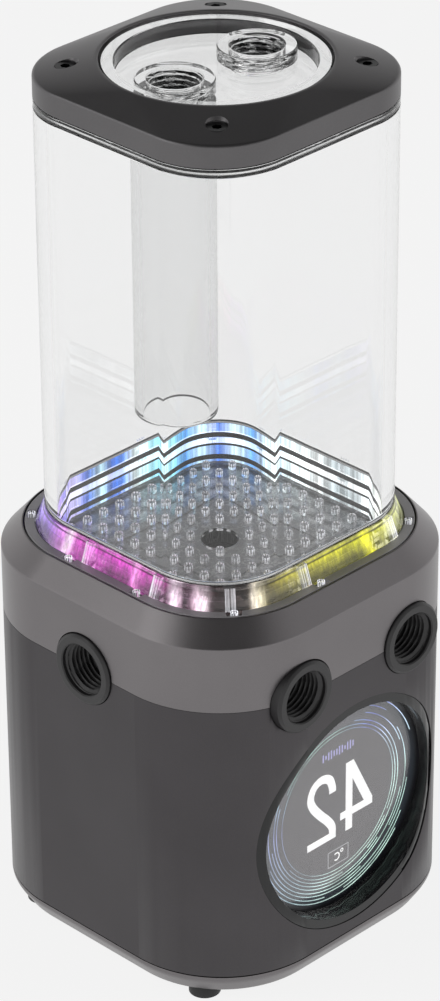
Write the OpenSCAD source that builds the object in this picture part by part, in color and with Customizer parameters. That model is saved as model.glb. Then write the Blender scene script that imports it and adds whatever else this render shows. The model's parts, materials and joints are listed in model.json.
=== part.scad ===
// Coolant pump reservoir: a clear rounded-square tank on a pump base, with a round display
// in the front face and threaded ports in the base and the lid.
// Millimetres. +Z up, the display looks along -Y, the feet stand on z = 0.

/* [Body] */
// Width and depth of the base
body_w = 92; // [90:0.5:110]
// Corner radius of the base
body_r = 29; // [26:0.5:32]
// Wall of the base shell
shell_t = 3; // [2.5:0.1:3.6]
// Thickness of the bottom plate
base_t = 5.8; // [5.2:0.1:9]
// Inset of the bottom plate's underside from its side
base_in = 3; // [1:0.1:4]
// Height of the slope round the bottom plate's underside
base_slope = 4.6; // [2:0.1:5]
// Shadow gap between the bottom plate and the shell
seam_gap = 0.3; // [0.2:0.05:0.8]
// Height of the light band above the shell
band_h = 17.1; // [15.5:0.1:24]
// Rise of the sloping shoulder
shoulder_rise = 5.6; // [4.5:0.1:9]
// Inset of the shoulder's inner edge from the base's side
shoulder_in = 4.65; // [4.2:0.05:5.2]
// Corner radius of the shoulder's inner edge
deck_r = 25.6; // [24:0.1:27]

/* [Feet] */
// Radius of a foot
foot_r = 3.95; // [3:0.05:4.2]
// Height that the feet lift the bottom plate
foot_h = 3; // [1:0.1:6]
// Foot centre to the base's left and right side
foot_in_x = 10.8; // [10.5:0.1:14]
// Foot centre to the base's front and back side
foot_in_y = 17.2; // [17:0.1:22]

/* [Tank] */
// Outer corner radius of the tank
tank_r = 19.7; // [18:0.1:21]
// Wall of the tank
tank_t = 3; // [2:0.1:4]
// Height of the tank tube
tank_h = 104.2; // [80:0.1:220]

/* [Light guide] */
// Height of the flared light guide above the deck
guide_h = 5.4; // [4.5:0.1:8]
// Outward flare of the light guide from its top to the deck
guide_flare = 2.3; // [1:0.1:2.4]
// Depth of the tank floor below the deck
floor_drop = 6; // [5.6:0.1:9]
// Thickness of the tank floor
floor_t = 3; // [2:0.1:5]
// Width of the clamp ring round the light guide
clamp_w = 2.5; // [2.4:0.1:4]
// Width of the ribs on the light guide
rib_w = 2.4; // [1.5:0.1:4]
// Distance that the ribs stand out at the guide's top
rib_out = 0.6; // [0.2:0.05:1]
// Radius of the pegs in the clamp ring's notches
peg_r = 0.9; // [0.6:0.05:0.95]
// Pitch of the pins on the tank floor
pin_pitch = 5.5; // [4.5:0.1:9]
// Radius of a floor pin
pin_r = 1.15; // [0.6:0.05:1.6]
// Height of a floor pin
pin_h = 1.8; // [0.8:0.1:3]
// Half side of the square groove round the inlet
groove_half = 15.6; // [9:0.1:24]
// Light sources on one side of the strip
leds_per_side = 4; // [2:1:6]

/* [Top] */
// Thickness of the lid plate between the tank and the frame
lid_t = 2.2; // [1.6:0.1:5]
// Height of the frame's outer edge
frame_h = 5.5; // [4.5:0.1:9]
// Rise of the frame from its edge to the opening
frame_rise = 3.3; // [1:0.1:5]
// Width of the frame beside its round opening
top_rim = 8.6; // [8:0.1:10.6]
// Depth of the lid's face below the opening's rim
lid_drop = 4.2; // [2:0.1:5]
// Width of the lid's clear rim
lid_rim_w = 3.2; // [1.5:0.1:3.6]
// Depth of the lid's spigot in the tank
spigot_h = 0.8; // [0.5:0.1:3]
// Thickness of the lid's spigot
spigot_t = 2; // [1.5:0.1:5]
// Screw centre to the frame's sides
top_screw_in = 11.25; // [10.6:0.05:12.1]
// Head radius of the frame's screws
top_screw_head_r = 2.45; // [2:0.05:2.7]

/* [Ports] */
// Radius of the port bores, the inner diameter of a G1/4 thread
port_r = 5.72; // [5.6:0.01:6.2]
// Radius of the counterbore at each port's mouth
port_mouth_r = 6.64; // [6.4:0.01:7]
// Radius of a base port's collar
collar_r = 9.2; // [8.6:0.05:10]
// Bevel of a base port's collar
collar_bevel = 0.6; // [0.2:0.05:1.2]
// Distance that a base port's collar stands out
collar_out = 1; // [0.5:0.1:1.2]
// Radius of a base port's threaded sleeve
sleeve_r = 7.6; // [7.2:0.05:8]
// Length of a base port's threaded sleeve inside the pump block
sleeve_l = 9.2; // [7:0.1:12]
// Half distance between the two front ports
front_port_x = 18.55; // [16:0.05:20]
// Half distance between the two lid ports
lid_port_x = 13.3; // [10.6:0.05:16]
// Radius of a lid port's collar
lid_collar_r = 9.35; // [8.6:0.05:9.8]
// Depth of the lid collars' rims below the opening's rim
lid_collar_drop = 1; // [0.2:0.1:1.8]
// Wall of the drop tube
drop_t = 2; // [1.4:0.1:2.4]
// Length of the drop tube
drop_l = 74.5; // [20:0.5:76]
// Length of the stub that carries the drop tube
stub_l = 4; // [2:0.1:8]

/* [Display] */
// Radius of the display's opening in the shell
display_r = 31; // [26:0.1:32]
// Shell left below the display's opening
display_under = 3; // [2.9:0.1:6]
// Height of the seam and the ports above the display's opening
port_over = 10.2; // [9.6:0.1:44]
// Width of the surround's rim
surround_t = 2.4; // [1.2:0.1:4]
// Depth of the display's glass behind the front face
display_deep = 5.6; // [4.6:0.1:6]

/* [Pump] */
// Clearance between the pump's lock ring and the display's well
lock_gap = 2.3; // [2:0.1:3.3]
// Width of the lock ring round the motor housing
lock_w = 6.5; // [6.2:0.1:7.5]
// Clearance between the motor housing and the sockets below it
motor_gap = 2.4; // [1:0.1:6]
// Inset of the volute chamber from the motor housing's side
volute_in = 2; // [1:0.1:4]
// Height of the volute chamber
volute_h = 10.5; // [9.6:0.1:12]
// Clearance between the impeller and the volute's wall
impeller_gap = 5; // [3.5:0.1:8]
// Number of impeller blades
blades = 7; // [5:1:9]
// Radius of the bearing shaft
shaft_r = 2.5; // [2:0.05:3]
// Radial running clearance of the rotor on its shaft
run_gap = 0.05; // [0.02:0.01:0.1]
// Length of the stator's teeth
tooth_l = 4.8; // [4.4:0.1:7.2]
// Radius of the inlet from the tank floor
inlet_r = 5; // [4:0.1:7]
// Number of stator poles
poles = 6; // [4:1:6]

/* [Boards] */
// Reach of the control board past the straight part of the walls
board_over = 11; // [8:0.1:13]
// Thickness of the circuit boards
board_t = 1.6; // [0.8:0.1:2]
// Height of the control board's posts
board_up = 6; // [4:0.1:6.6]

/* [Fasteners] */
// Shank radius of the small screws
screw_r = 1.25; // [1:0.05:1.3]
// Shank radius of the long block screws
long_screw_r = 1.5; // [1.2:0.05:1.6]
// Radius of the shell's posts
post_r = 4.4; // [4:0.1:5]
// Distance of the posts' centres from the shell's inner wall
post_in = 4.2; // [3.8:0.05:4.3]
// Post centre from the middle along Y
post_y = 20; // [18:0.5:23]

/* [Hidden] */
$fn = 96;

e = 0.01;
body_half = body_w / 2;
arc = body_half - body_r;
inner_half = body_half - shell_t;
inner_r = body_r - shell_t;
post_x = inner_half - post_in;
deck_half = body_half - shoulder_in;
rim_flat = 0.3;
deck_gap = 0.45;
clamp_half = deck_half - rim_flat - deck_gap;
clamp_fit = 0.2;
tank_w = 2 * (clamp_half - clamp_w - clamp_fit - guide_flare);
tank_half = tank_w / 2;
tank_in = tank_half - tank_t;
tank_in_r = tank_r - tank_t;

// Heights of the stack
z_plate1 = foot_h + base_t;
z_shell0 = z_plate1 + seam_gap;
display_up = display_under + display_r;
z_display = z_shell0 + display_up;
body_h = seam_gap + display_up + display_r + port_over;
z_seam = z_plate1 + body_h;
z_band1 = z_seam + band_h;
z_deck = z_band1 + shoulder_rise;
z_tank0 = z_deck + guide_h;
z_tank1 = z_tank0 + tank_h;
z_frame0 = z_tank1 + lid_t;
z_frame1 = z_frame0 + frame_h;
z_rim = z_frame1 + frame_rise;
z_lid = z_rim - lid_drop;
z_lid_collar = z_rim - lid_collar_drop;

// Top
opening_r = tank_half - top_rim;
top_screw_xy = tank_half - top_screw_in;

// Tank floor and light guide
fit = 0.1;
floor_half = tank_half + 0.9;
floor_r = tank_r + 0.9;
z_floor = z_deck - floor_drop;
z_block1 = z_floor - floor_t;
flare_half = tank_half + guide_flare;
flare_r = tank_r + guide_flare;
clamp_r = deck_r - rim_flat - deck_gap;
clamp_in = flare_half + clamp_fit;
clamp_in_r = flare_r + clamp_fit;
clamp_t = 2;
z_clamp0 = z_deck - clamp_t;
flange_t = 2.4;
gasket_t = 0.5;
z_guide0 = z_deck - 0.3;
z_guide_base1 = z_guide0 - gasket_t;
band_w = 1.3;
band_deep = 0.8;
notch_w = 2 * peg_r + 2;
peg_at = flare_half + peg_r + 0.25;
peg_at_r = flare_r + peg_r + 0.25;
sheet_t = 0.8;
led_w = 3.5;
led_t = 1.4;
led_board_t = 1;
led_at = (floor_half + deck_half) / 2 - 0.1;

// Display
well_t = 2;
well_r = display_r + well_t;
glass_y = body_half - display_deep;
glass_t = 1;
panel_t = 2;
display_fit = 0.1;
y_panel = glass_y - glass_t;
y_dboard = y_panel - panel_t;
y_retainer = y_dboard - board_t;
retainer_t = 1;
y_well = y_retainer - retainer_t;

// Pump block
lock_r = y_well - lock_gap;
motor_r = lock_r - lock_w;
volute_r = motor_r - volute_in;
impeller_r = volute_r - impeller_gap;
block_half = inner_half - 0.3;
block_r = inner_r - 0.3;
slab_under = collar_r + 0.8;
z_slab0 = z_seam - slab_under;
z_block0 = z_slab0 - volute_h;
hub_r = lock_r + 0.5;
spot_y = block_half - 2.4;
seal_t = 1;
seal_w = 1.2;
channel_r = 4.5;
riser_r = 3;
riser_y = 9.5;
riser_cap = 0.4;
return_x = spot_y - sleeve_l - channel_r - 2;

// Boards
z_board = z_plate1 + board_up;
socket_z = z_board + board_t;
socket_h = 7;
power_w = 12;
data_w = 8;
power_x = -10;
data_x = 6;
socket_in = 9;
board_half = arc + board_over;
board_w = 2 * board_half;
board_gap = 4;
board_back = inner_half - board_gap;
board_at_y = board_back - board_half;
board_post_r = 3;
board_hole_in = 3.5;
ribbon_drop = 18;

// Pump
flange_r = motor_r + 2;
motor_flange_t = 4;
z_flange0 = z_block0 - motor_flange_t;
motor_h = z_block0 - socket_z - socket_h - motor_gap;
z_motor0 = z_block0 - motor_h;
motor_t = 1.3;
core_r = motor_r - motor_t - 0.1;
yoke_t = 3;
core_in = core_r - yoke_t - tooth_l;
can_fit = 0.4;
can_t = 1;
can_r = core_in - can_fit;
can_in = can_r - can_t;
magnet_gap = 1;
magnet_r = can_in - magnet_gap;
motor_board_up = 4;
lead_y = 15;
lead_r = 1.8;
can_floor = 1.2;
can_lip = 3.6;
can_flange_r = can_r + can_lip;
can_flange_t = 0.8;
can_deep = 22;
z_can0 = z_block0 - can_deep;
boss_h = 3;
z_boss = z_can0 + boss_h;
washer_t = 1;
z_washer = z_boss + washer_t;
sleeve_bore = shaft_r + run_gap;
hub_wall = 2.5;
rotor_hub_r = shaft_r + hub_wall;
z_rotor0 = z_washer + 0.05;
magnet_up = 1;
z_magnet0 = z_rotor0 + magnet_up;
magnet_deep = 1.5;
z_magnet1 = z_block0 - magnet_deep;
imp_gap = 0.8;
imp_t = 1.4;
imp_over = 2.4;
z_imp0 = z_block0 + can_flange_t + imp_gap;
z_imp_disc = z_imp0 + imp_t;
z_imp1 = z_block0 + volute_h - imp_over;
z_rotor1 = z_imp1 - imp_t;
cap_h = 1.2;
z_shaft1 = z_rotor1 + cap_h;
tooth_w = 5;
coil_t = 1.7;
core_up = 4;
core_down = 2;
z_core0 = z_can0 + core_up;
z_core1 = z_flange0 - core_down;
seal_r = volute_r + 1;
lock_t = 4;
lock_screw_at = (flange_r + 0.2 + lock_r) / 2 + 0.2;

function corners(x, y) = [[-x, -y], [x, -y], [x, y], [-x, y]];

// Square with four round corners
module rsq(h, r) {
  square([2 * (h - r), 2 * h], center = true);
  square([2 * h, 2 * (h - r)], center = true);
  for (c = corners(h - r, h - r)) translate(c) circle(r);
}

// Rounded-square slab from z0 to z1
module slab(h, r, z0, z1) {
  translate([0, 0, z0]) linear_extrude(z1 - z0) rsq(h, r);
}

// Rounded-square frame from z0 to z1
module frame_slab(h, r, hi, ri, z0, z1) {
  translate([0, 0, z0]) linear_extrude(z1 - z0) difference() {
    rsq(h, r);
    rsq(hi, ri);
  }
}

// Solid that tapers from one rounded square to another
module taper(h0, r0, h1, r1, z0, z1) {
  hull() {
    slab(h0, r0, z0, z0 + e, $fn = 64);
    slab(h1, r1, z1 - e, z1, $fn = 64);
  }
}

module disc(r, z0, z1) { translate([0, 0, z0]) cylinder(r = r, h = z1 - z0); }

module tube(r, ri, z0, z1) {
  difference() {
    disc(r, z0, z1);
    disc(ri, z0 - 1, z1 + 1);
  }
}

// Cylinder along Y, y0 to y1, at x and z
module disc_y(r, y0, y1, x, z) {
  translate([x, y0, z]) rotate([-90, 0, 0]) cylinder(r = r, h = y1 - y0);
}

// Round hollow along Y for the display, at the display's centre
module display_ring(r, ri, y0, y1) {
  difference() {
    disc_y(r, y0, y1, 0, z_display);
    disc_y(ri, y0 - 1, y1 + 1, 0, z_display);
  }
}

// The three base ports share one shape, which points along -Y here
module at_ports() {
  for (x = [-front_port_x, front_port_x]) translate([x, 0, z_seam]) children();
  rotate([0, 0, -90]) translate([0, 0, z_seam]) children();
}

module port_body() {
  face_y = body_half + collar_out;
  difference() {
    union() {
      disc_y(collar_r, -face_y + collar_bevel, -spot_y, 0, 0);
      translate([0, -face_y, 0]) rotate([-90, 0, 0])
        cylinder(r1 = collar_r - collar_bevel, r2 = collar_r, h = collar_bevel);
      disc_y(sleeve_r, -spot_y - e, -spot_y + sleeve_l, 0, 0);
    }
    disc_y(port_r, -face_y - 1, -spot_y + sleeve_l + 1, 0, 0);
    disc_y(port_mouth_r, -face_y - 1, -face_y + 1.2, 0, 0);
  }
}

// Screw along Z with a socket head: head on top, shank below
module cap_screw(head_r, head_h, r, z_head, z_end) {
  difference() {
    union() {
      disc(head_r, z_head - head_h, z_head);
      disc(r, z_end, z_head - head_h + e);
    }
    translate([0, 0, z_head - head_h * 0.6]) cylinder(r = head_r * 0.5, h = head_h, $fn = 6);
  }
}

// Directions of the light guide's ribs and pegs round one half of the tank
rib_angles = [170, 203, 228, 256, 300];
peg_angles = [163, 196, 229, 262, 312];

// Distance from the middle to the rounded square's outline in the direction d
function reach(h, r, d) = let (t = h / max(abs(d[0]), abs(d[1])), c = [for (v = d) (h - r) * sign(v)], k = d * c)
  min(abs(t * d[0]), abs(t * d[1])) <= h - r ? t : k + sqrt(k * k - c * c + r * r);
// Direction that the outline faces there
function facing(h, r, d) = let (p = reach(h, r, d) * d, q = [for (v = p) sign(v) * max(abs(v) - h + r, 0)])
  atan2(q[1], q[0]);

// Sets children on the outline at each angle and at the opposite one, with -Y facing outwards
module on_outline(angles, h, r) {
  for (a = concat(angles, [for (b = angles) b - 180])) {
    d = [cos(a), sin(a)];
    translate(reach(h, r, d) * d) rotate([0, 0, facing(h, r, d) + 90]) children();
  }
}

// Top
top_screw_head_h = 1.8;
z_top_head = z_frame1 + frame_rise * 0.5 - 0.35;
z_top_screw0 = z_tank1 + 0.6;
lid_post_r = screw_r + 1.6;
lid_post_h = 2.2;

module top_frame() {
  color("#3c3a3b") difference() {
    union() {
      slab(tank_half, tank_r, z_frame0, z_frame1);
      hull() {
        slab(tank_half, tank_r, z_frame1 - e, z_frame1, $fn = 96);
        disc(opening_r + 0.8, z_rim - e, z_rim);
      }
    }
    disc(opening_r, z_frame0 - 1, z_rim + 1);
    for (c = corners(top_screw_xy, top_screw_xy)) translate(c) {
      disc(top_screw_head_r + fit, z_top_head - top_screw_head_h, z_rim + 1);
      disc(screw_r + fit, z_frame0 - 1, z_rim);
      disc(lid_post_r + fit, z_frame0 - 1, z_frame0 + lid_post_h + fit);
    }
  }
}

module top_screws() {
  color("#141414") for (c = corners(top_screw_xy, top_screw_xy)) translate(c)
    cap_screw(top_screw_head_r, top_screw_head_h, screw_r, z_top_head, z_top_screw0);
}

lid_boss_r = opening_r - 0.4;
spigot_half = tank_in - fit;
spigot_r = tank_in_r - fit;
z_lid_rim = z_rim - 0.7;
lid_seal_w = 1.2;
lid_seal_h = 1;
lid_seal_in = (tank_half + tank_in - lid_seal_w) / 2;
lid_seal_r = (tank_r + tank_in_r - lid_seal_w) / 2;

module lid_seal_shape(down = 0) {
  frame_slab(lid_seal_in + lid_seal_w, lid_seal_r + lid_seal_w, lid_seal_in, lid_seal_r,
    z_tank1 - down, z_tank1 + lid_seal_h);
}

module lid() {
  color("#dfe8ea", 0.4) difference() {
    union() {
      slab(tank_half, tank_r, z_tank1, z_frame0);
      disc(lid_boss_r, z_frame0 - e, z_lid);
      difference() {
        disc(lid_boss_r, z_lid - e, z_lid_rim);
        disc(lid_boss_r - lid_rim_w, z_lid - 1, z_lid_rim + 1);
      }
      for (x = [-lid_port_x, lid_port_x]) translate([x, 0, 0]) disc(lid_collar_r, z_lid - e, z_lid_collar);
      translate([-lid_port_x, 0, 0]) disc(lid_collar_r - drop_t, z_tank1 - stub_l, z_tank1 + e);
      frame_slab(spigot_half, spigot_r, spigot_half - spigot_t, spigot_r - spigot_t,
        z_tank1 - spigot_h, z_tank1 + e);
      for (c = corners(top_screw_xy, top_screw_xy)) translate(c)
        disc(lid_post_r, z_frame0 - e, z_frame0 + lid_post_h);
    }
    for (x = [-lid_port_x, lid_port_x]) translate([x, 0, 0]) {
      disc(port_r, z_tank1 - stub_l - 1, z_lid_collar + 1);
      disc(port_mouth_r, z_lid_collar - 1, z_lid_collar + 1);
    }
    for (c = corners(top_screw_xy, top_screw_xy)) translate(c)
      disc(screw_r, z_top_screw0, z_frame0 + lid_post_h + 1);
    lid_seal_shape(1);
  }
}

module lid_seal() {
  color("#9aa0a0") lid_seal_shape();
}

module drop_tube() {
  color("#e4ecee", 0.4) translate([-lid_port_x, 0, 0]) difference() {
    union() {
      disc(lid_collar_r, z_tank1 - drop_l + 1, z_tank1);
      translate([0, 0, z_tank1 - drop_l]) cylinder(r1 = lid_collar_r - 0.8, r2 = lid_collar_r, h = 1);
    }
    disc(lid_collar_r - drop_t, z_tank1 - drop_l - 1, z_tank1 + 1);
  }
}

module tank() {
  color("#dfe8ea", 0.3) frame_slab(tank_half, tank_r, tank_in, tank_in_r, z_tank0, z_tank1);
}

// Light guide
module guide_rib() {
  out = 0.1;
  translate([-rib_w / 2, 0, 0]) rotate([90, 0, 90]) linear_extrude(rib_w)
    polygon([[-out, z_guide0], [-out, z_deck + 0.3], [guide_flare - rib_out, z_tank0],
      [guide_flare + 1, z_tank0], [guide_flare + 1, z_guide0]]);
}

module light_guide() {
  color("#e8c8f0", 0.5) difference() {
    union() {
      taper(flare_half, flare_r, tank_half, tank_r, z_guide0, z_tank0);
      on_outline(rib_angles, flare_half, flare_r) guide_rib();
    }
    slab(tank_in, tank_in_r, z_guide0 - 1, z_tank0 + 1);
    slab(tank_in + band_deep, tank_in_r + band_deep, z_bands[0], z_bands[0] + band_w);
  }
}

z_bands = [z_guide0 + (z_tank0 - z_guide0) * 0.32, z_floor + 1.3];

module guide_base() {
  color("#dde6f4", 0.5) difference() {
    union() {
      slab(floor_half, floor_r, z_floor, z_guide_base1);
      slab(clamp_half - 0.2, clamp_r - 0.2, z_clamp0 - flange_t, z_clamp0);
    }
    slab(tank_in, tank_in_r, z_floor - 1, z_deck);
    slab(tank_in + band_deep, tank_in_r + band_deep, z_bands[1], z_bands[1] + band_w);
  }
}

module guide_gasket() {
  color("#222222") frame_slab(floor_half, floor_r, tank_in, tank_in_r, z_guide_base1, z_guide0);
}

module guide_bands() {
  color("#262424") for (z = z_bands)
    frame_slab(tank_in + band_deep, tank_in_r + band_deep, tank_in, tank_in_r, z, z + band_w);
}

module guide_pegs() {
  color("#e6e6f0") on_outline(peg_angles, peg_at, peg_at_r) disc(peg_r, z_clamp0, z_deck + 0.4);
}

module clamp_ring() {
  color("#77787a") difference() {
    slab(clamp_half, clamp_r, z_clamp0, z_deck);
    slab(clamp_in, clamp_in_r, z_clamp0 - 1, z_deck + 1);
    on_outline(peg_angles, peg_at, peg_at_r) {
      translate([-notch_w / 2, -peg_r - 0.2, z_clamp0 - 1]) cube([notch_w, 3, clamp_t + 2]);
    }
  }
}

// Tank floor
module floor_plate() {
  color("#6c6d70") difference() {
    slab(floor_half, floor_r, z_block1, z_floor);
    disc(inlet_r, z_block1 - 1, z_floor + 1);
    translate([-return_x, 0, 0]) disc(riser_r, z_block1 - 1, z_floor + 1);
    translate([0, 0, z_floor - 0.4]) linear_extrude(1) difference() {
      square(2 * groove_half + 0.8, center = true);
      square(2 * groove_half - 0.8, center = true);
    }
  }
}

// True where a pin stands clear of the walls and holes of the floor
function corner_gap(x, y) = let (c = tank_in - tank_in_r, dx = max(abs(x) - c, 0), dy = max(abs(y) - c, 0))
  tank_in_r - norm([dx, dy]);
function pin_fits(x, y) = corner_gap(x, y) > pin_r + 1.2
  && norm([x, y]) > inlet_r + pin_r + 1
  && norm([x + return_x, y]) > riser_r + pin_r + 1;
pin_rows = floor(tank_in / pin_pitch);

module pin_sheet() {
  color("#eef2f4", 0.5) {
    difference() {
      slab(tank_in - 0.2, tank_in_r - 0.2, z_floor, z_floor + sheet_t);
      disc(inlet_r, z_floor - 1, z_floor + 2);
      translate([-return_x, 0, 0]) disc(riser_r, z_floor - 1, z_floor + 2);
    }
    for (i = [-pin_rows : pin_rows], j = [-pin_rows : pin_rows])
      if (pin_fits(i * pin_pitch, j * pin_pitch))
        translate([i * pin_pitch, j * pin_pitch, 0]) disc(pin_r, z_floor + sheet_t - e, z_floor + sheet_t + pin_h, $fn = 24);
  }
}

led_marks = [for (i = [0 : leds_per_side - 1]) ((i + 0.5) / leds_per_side - 0.5) * 2 * (clamp_half - clamp_r)];

module led_board() {
  color("#f0f0ee") frame_slab(clamp_half, clamp_r, floor_half + fit, floor_r + fit,
    z_block1, z_block1 + led_board_t);
}

module leds() {
  color("#fafaf0") for (a = [0 : 90 : 270]) rotate([0, 0, a]) for (x = led_marks)
    translate([x - led_w / 2, -led_at - led_w / 2, z_block1 + led_board_t]) cube([led_w, led_w, led_t]);
}

// Base
module port_holes(r) {
  at_ports() disc_y(r, -body_half - 2, -spot_y + seal_t, 0, 0);
}

module upper_cover() {
  color("#767172") difference() {
    union() {
      slab(body_half, body_r, z_seam, z_band1);
      taper(body_half, body_r, deck_half, deck_r, z_band1 - e, z_deck);
    }
    slab(inner_half, inner_r, z_seam - 1, z_block1);
    slab(deck_half - rim_flat, deck_r - rim_flat, z_block1 - 1, z_deck + 1);
    port_holes(collar_r + 0.15);
  }
}

module pump_block() {
  color("#1d1d1f") difference() {
    union() {
      slab(block_half, block_r, z_slab0, z_block1);
      disc(hub_r, z_block0, z_slab0 + e);
    }
    disc(volute_r, z_block0 - 1, z_block0 + volute_h - 1);
    disc(inlet_r, z_block0 + 1, z_block1 + 1);
    at_ports() {
      disc_y(collar_r + 0.15, -body_half, -spot_y, 0, 0);
      disc_y(sleeve_r + seal_w, -body_half, -spot_y + seal_t, 0, 0);
      disc_y(sleeve_r, -body_half, -spot_y + sleeve_l, 0, 0);
    }
    for (x = [-front_port_x, front_port_x]) {
      disc_y(channel_r, -spot_y, -riser_y + riser_r + riser_cap, x, z_seam);
      translate([x, -riser_y, 0]) disc(riser_r, z_slab0 - 2, z_seam);
    }
    rotate([0, 0, -90]) disc_y(channel_r, -spot_y, -return_x + riser_r + riser_cap, 0, z_seam);
    translate([-return_x, 0, 0]) disc(riser_r, z_seam, z_block1 + 1);
    display_clearance();
    for (c = corners(post_x, post_y)) translate(c) {
      disc(long_screw_r, z_slab0 - 1, z_block1 + 1);
      disc(long_screw_r * 2, z_block1 - 6, z_block1 + 1);
    }
    tube(seal_r + 1.6, seal_r, z_block0 - 1, z_block0 + 1.2);
    for (a = [45 : 90 : 315]) rotate([0, 0, a]) translate([lock_screw_at, 0, 0])
      disc(screw_r, z_block0 - 1, z_block0 + 6);
  }
}

// Room that the display's well takes from the block
module display_clearance() {
  disc_y(well_r + 0.3, -body_half, -y_well + 0.3, 0, z_display);
}

module block_screws() {
  color("#2a2a2c") for (c = corners(post_x, post_y)) translate(c)
    cap_screw(long_screw_r * 1.9, 3, long_screw_r, z_block1 - 3, z_slab0 - 10);
}

module front_left_port() { color("#2b2a2c") translate([-front_port_x, 0, z_seam]) port_body(); }
module front_right_port() { color("#2b2a2c") translate([front_port_x, 0, z_seam]) port_body(); }
module side_port() { color("#2b2a2c") translate([0, 0, z_seam]) rotate([0, 0, -90]) port_body(); }

module port_seals() {
  color("#0c0c0c") at_ports() difference() {
    disc_y(sleeve_r + seal_w, -spot_y, -spot_y + seal_t, 0, 0);
    disc_y(sleeve_r, -spot_y - 1, -spot_y + seal_t + 1, 0, 0);
  }
}

module body_shell() {
  color("#4a4748") difference() {
    union() {
      frame_slab(body_half, body_r, inner_half, inner_r, z_shell0, z_seam);
      for (c = corners(post_x, post_y)) translate(c) disc(post_r, z_shell0, z_slab0);
      intersection() {
        disc_y(well_r, -body_half, -y_well, 0, z_display);
        slab(body_half - e, body_r - e, z_shell0, z_seam);
      }
    }
    disc_y(display_r, -body_half - 1, -y_well + 1, 0, z_display);
    port_holes(collar_r + 0.15);
    for (c = corners(post_x, post_y)) translate(c) {
      disc(long_screw_r, z_slab0 - 10, z_slab0 + 1);
      disc(screw_r, z_shell0 - 1, z_shell0 + 12);
    }
    translate([power_x - power_w / 2 - fit, 0, socket_z - fit]) cube([power_w + 2 * fit, body_half + 1, socket_h + 2 * fit]);
    translate([data_x - data_w / 2 - fit, 0, socket_z - fit]) cube([data_w + 2 * fit, body_half + 1, socket_h + 2 * fit]);
  }
}

// Display
module display_surround() {
  color("#0e0e10") intersection() {
    display_ring(display_r - display_fit, display_r - surround_t, -body_half, -glass_y);
    slab(body_half - 0.2, body_r - 0.2, z_shell0, z_seam);
  }
}

module display_glass() {
  color("#30343a", 0.5) disc_y(display_r - display_fit, -glass_y, -y_panel, 0, z_display);
}

module display_panel() {
  color("#5f5d60") disc_y(display_r - 0.6, -y_panel, -y_dboard, 0, z_display);
}

module display_board() {
  color("#1c4a2c") disc_y(display_r - 0.6, -y_dboard, -y_retainer, 0, z_display);
}

module display_retainer() {
  color("#262628") display_ring(display_r, display_r - 4, -y_retainer, -y_well);
}

ribbon_x = 5;

module display_ribbon() {
  color("#c89040") translate([-ribbon_x, 0, 0]) rotate([90, 0, 90]) linear_extrude(2 * ribbon_x)
    polygon([[-y_retainer, z_display - ribbon_drop], [-y_retainer + 0.5, z_display - ribbon_drop],
      [-y_retainer + 0.5, socket_z + 1.5], [board_at_y - board_half + 4, socket_z + 1.5],
      [board_at_y - board_half + 4, socket_z], [board_at_y - board_half + 3.5, socket_z],
      [board_at_y - board_half + 3.5, socket_z + 1], [-y_retainer, socket_z + 1]]);
}

// Pump
module motor_housing() {
  color("#1a1a1c") difference() {
    union() {
      disc(motor_r, z_motor0, z_block0);
      disc(flange_r, z_flange0, z_block0);
    }
    disc(motor_r - motor_t, z_motor0 + 2, z_flange0);
    disc(can_r, z_motor0 + 2, z_block0 + 1);
    translate([0, lead_y, 0]) disc(lead_r + 0.4, z_motor0 - 1, z_motor0 + 3);
  }
}

module motor_board() {
  color("#1c4a2c") tube(core_r, 3, z_motor0 + motor_board_up, z_motor0 + motor_board_up + board_t);
}

module stator_core() {
  color("#8a8c90") difference() {
    union() {
      tube(core_r, core_r - yoke_t, z_core0, z_core1);
      for (a = [0 : 360 / poles : 359]) rotate([0, 0, a])
        translate([core_in, -tooth_w / 2, z_core0]) cube([core_r - yoke_t / 2 - core_in, tooth_w, z_core1 - z_core0]);
    }
    disc(core_in, z_core0 - 1, z_core1 + 1);
  }
}

module stator_coils() {
  color("#b5652a") for (a = [0 : 360 / poles : 359]) rotate([0, 0, a]) difference() {
    translate([core_in + 0.8, -tooth_w / 2 - coil_t, z_core0 - coil_t])
      cube([core_r - yoke_t - core_in - 1.6, tooth_w + 2 * coil_t, z_core1 - z_core0 + 2 * coil_t]);
    translate([core_in - 1, -tooth_w / 2, z_core0]) cube([core_r, tooth_w, z_core1 - z_core0]);
  }
}

module rotor_can() {
  color("#c8cacc") difference() {
    union() {
      disc(can_r, z_can0 - can_floor, z_block0 + e);
      disc(can_flange_r, z_block0, z_block0 + can_flange_t);
    }
    tube(can_in, rotor_hub_r + 0.5, z_can0, z_boss);
    disc(can_in, z_boss, z_block0 + 2);
    disc(shaft_r, z_can0, z_block0);
  }
}

module bearing_shaft() { color("#e8e6e0") disc(shaft_r, z_can0, z_shaft1); }
module shaft_cap() { color("#c8cacc") tube(shaft_r + 1.6, shaft_r, z_rotor1 + 0.2, z_shaft1); }
module thrust_washer() { color("#e8e6e0") tube(rotor_hub_r - 0.4, shaft_r, z_boss, z_washer); }
module rotor_sleeve() { color("#46464a") tube(rotor_hub_r, sleeve_bore, z_rotor0, z_rotor1); }
module rotor_magnet() { color("#38383c") tube(magnet_r, rotor_hub_r, z_magnet0, z_magnet1); }

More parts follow.
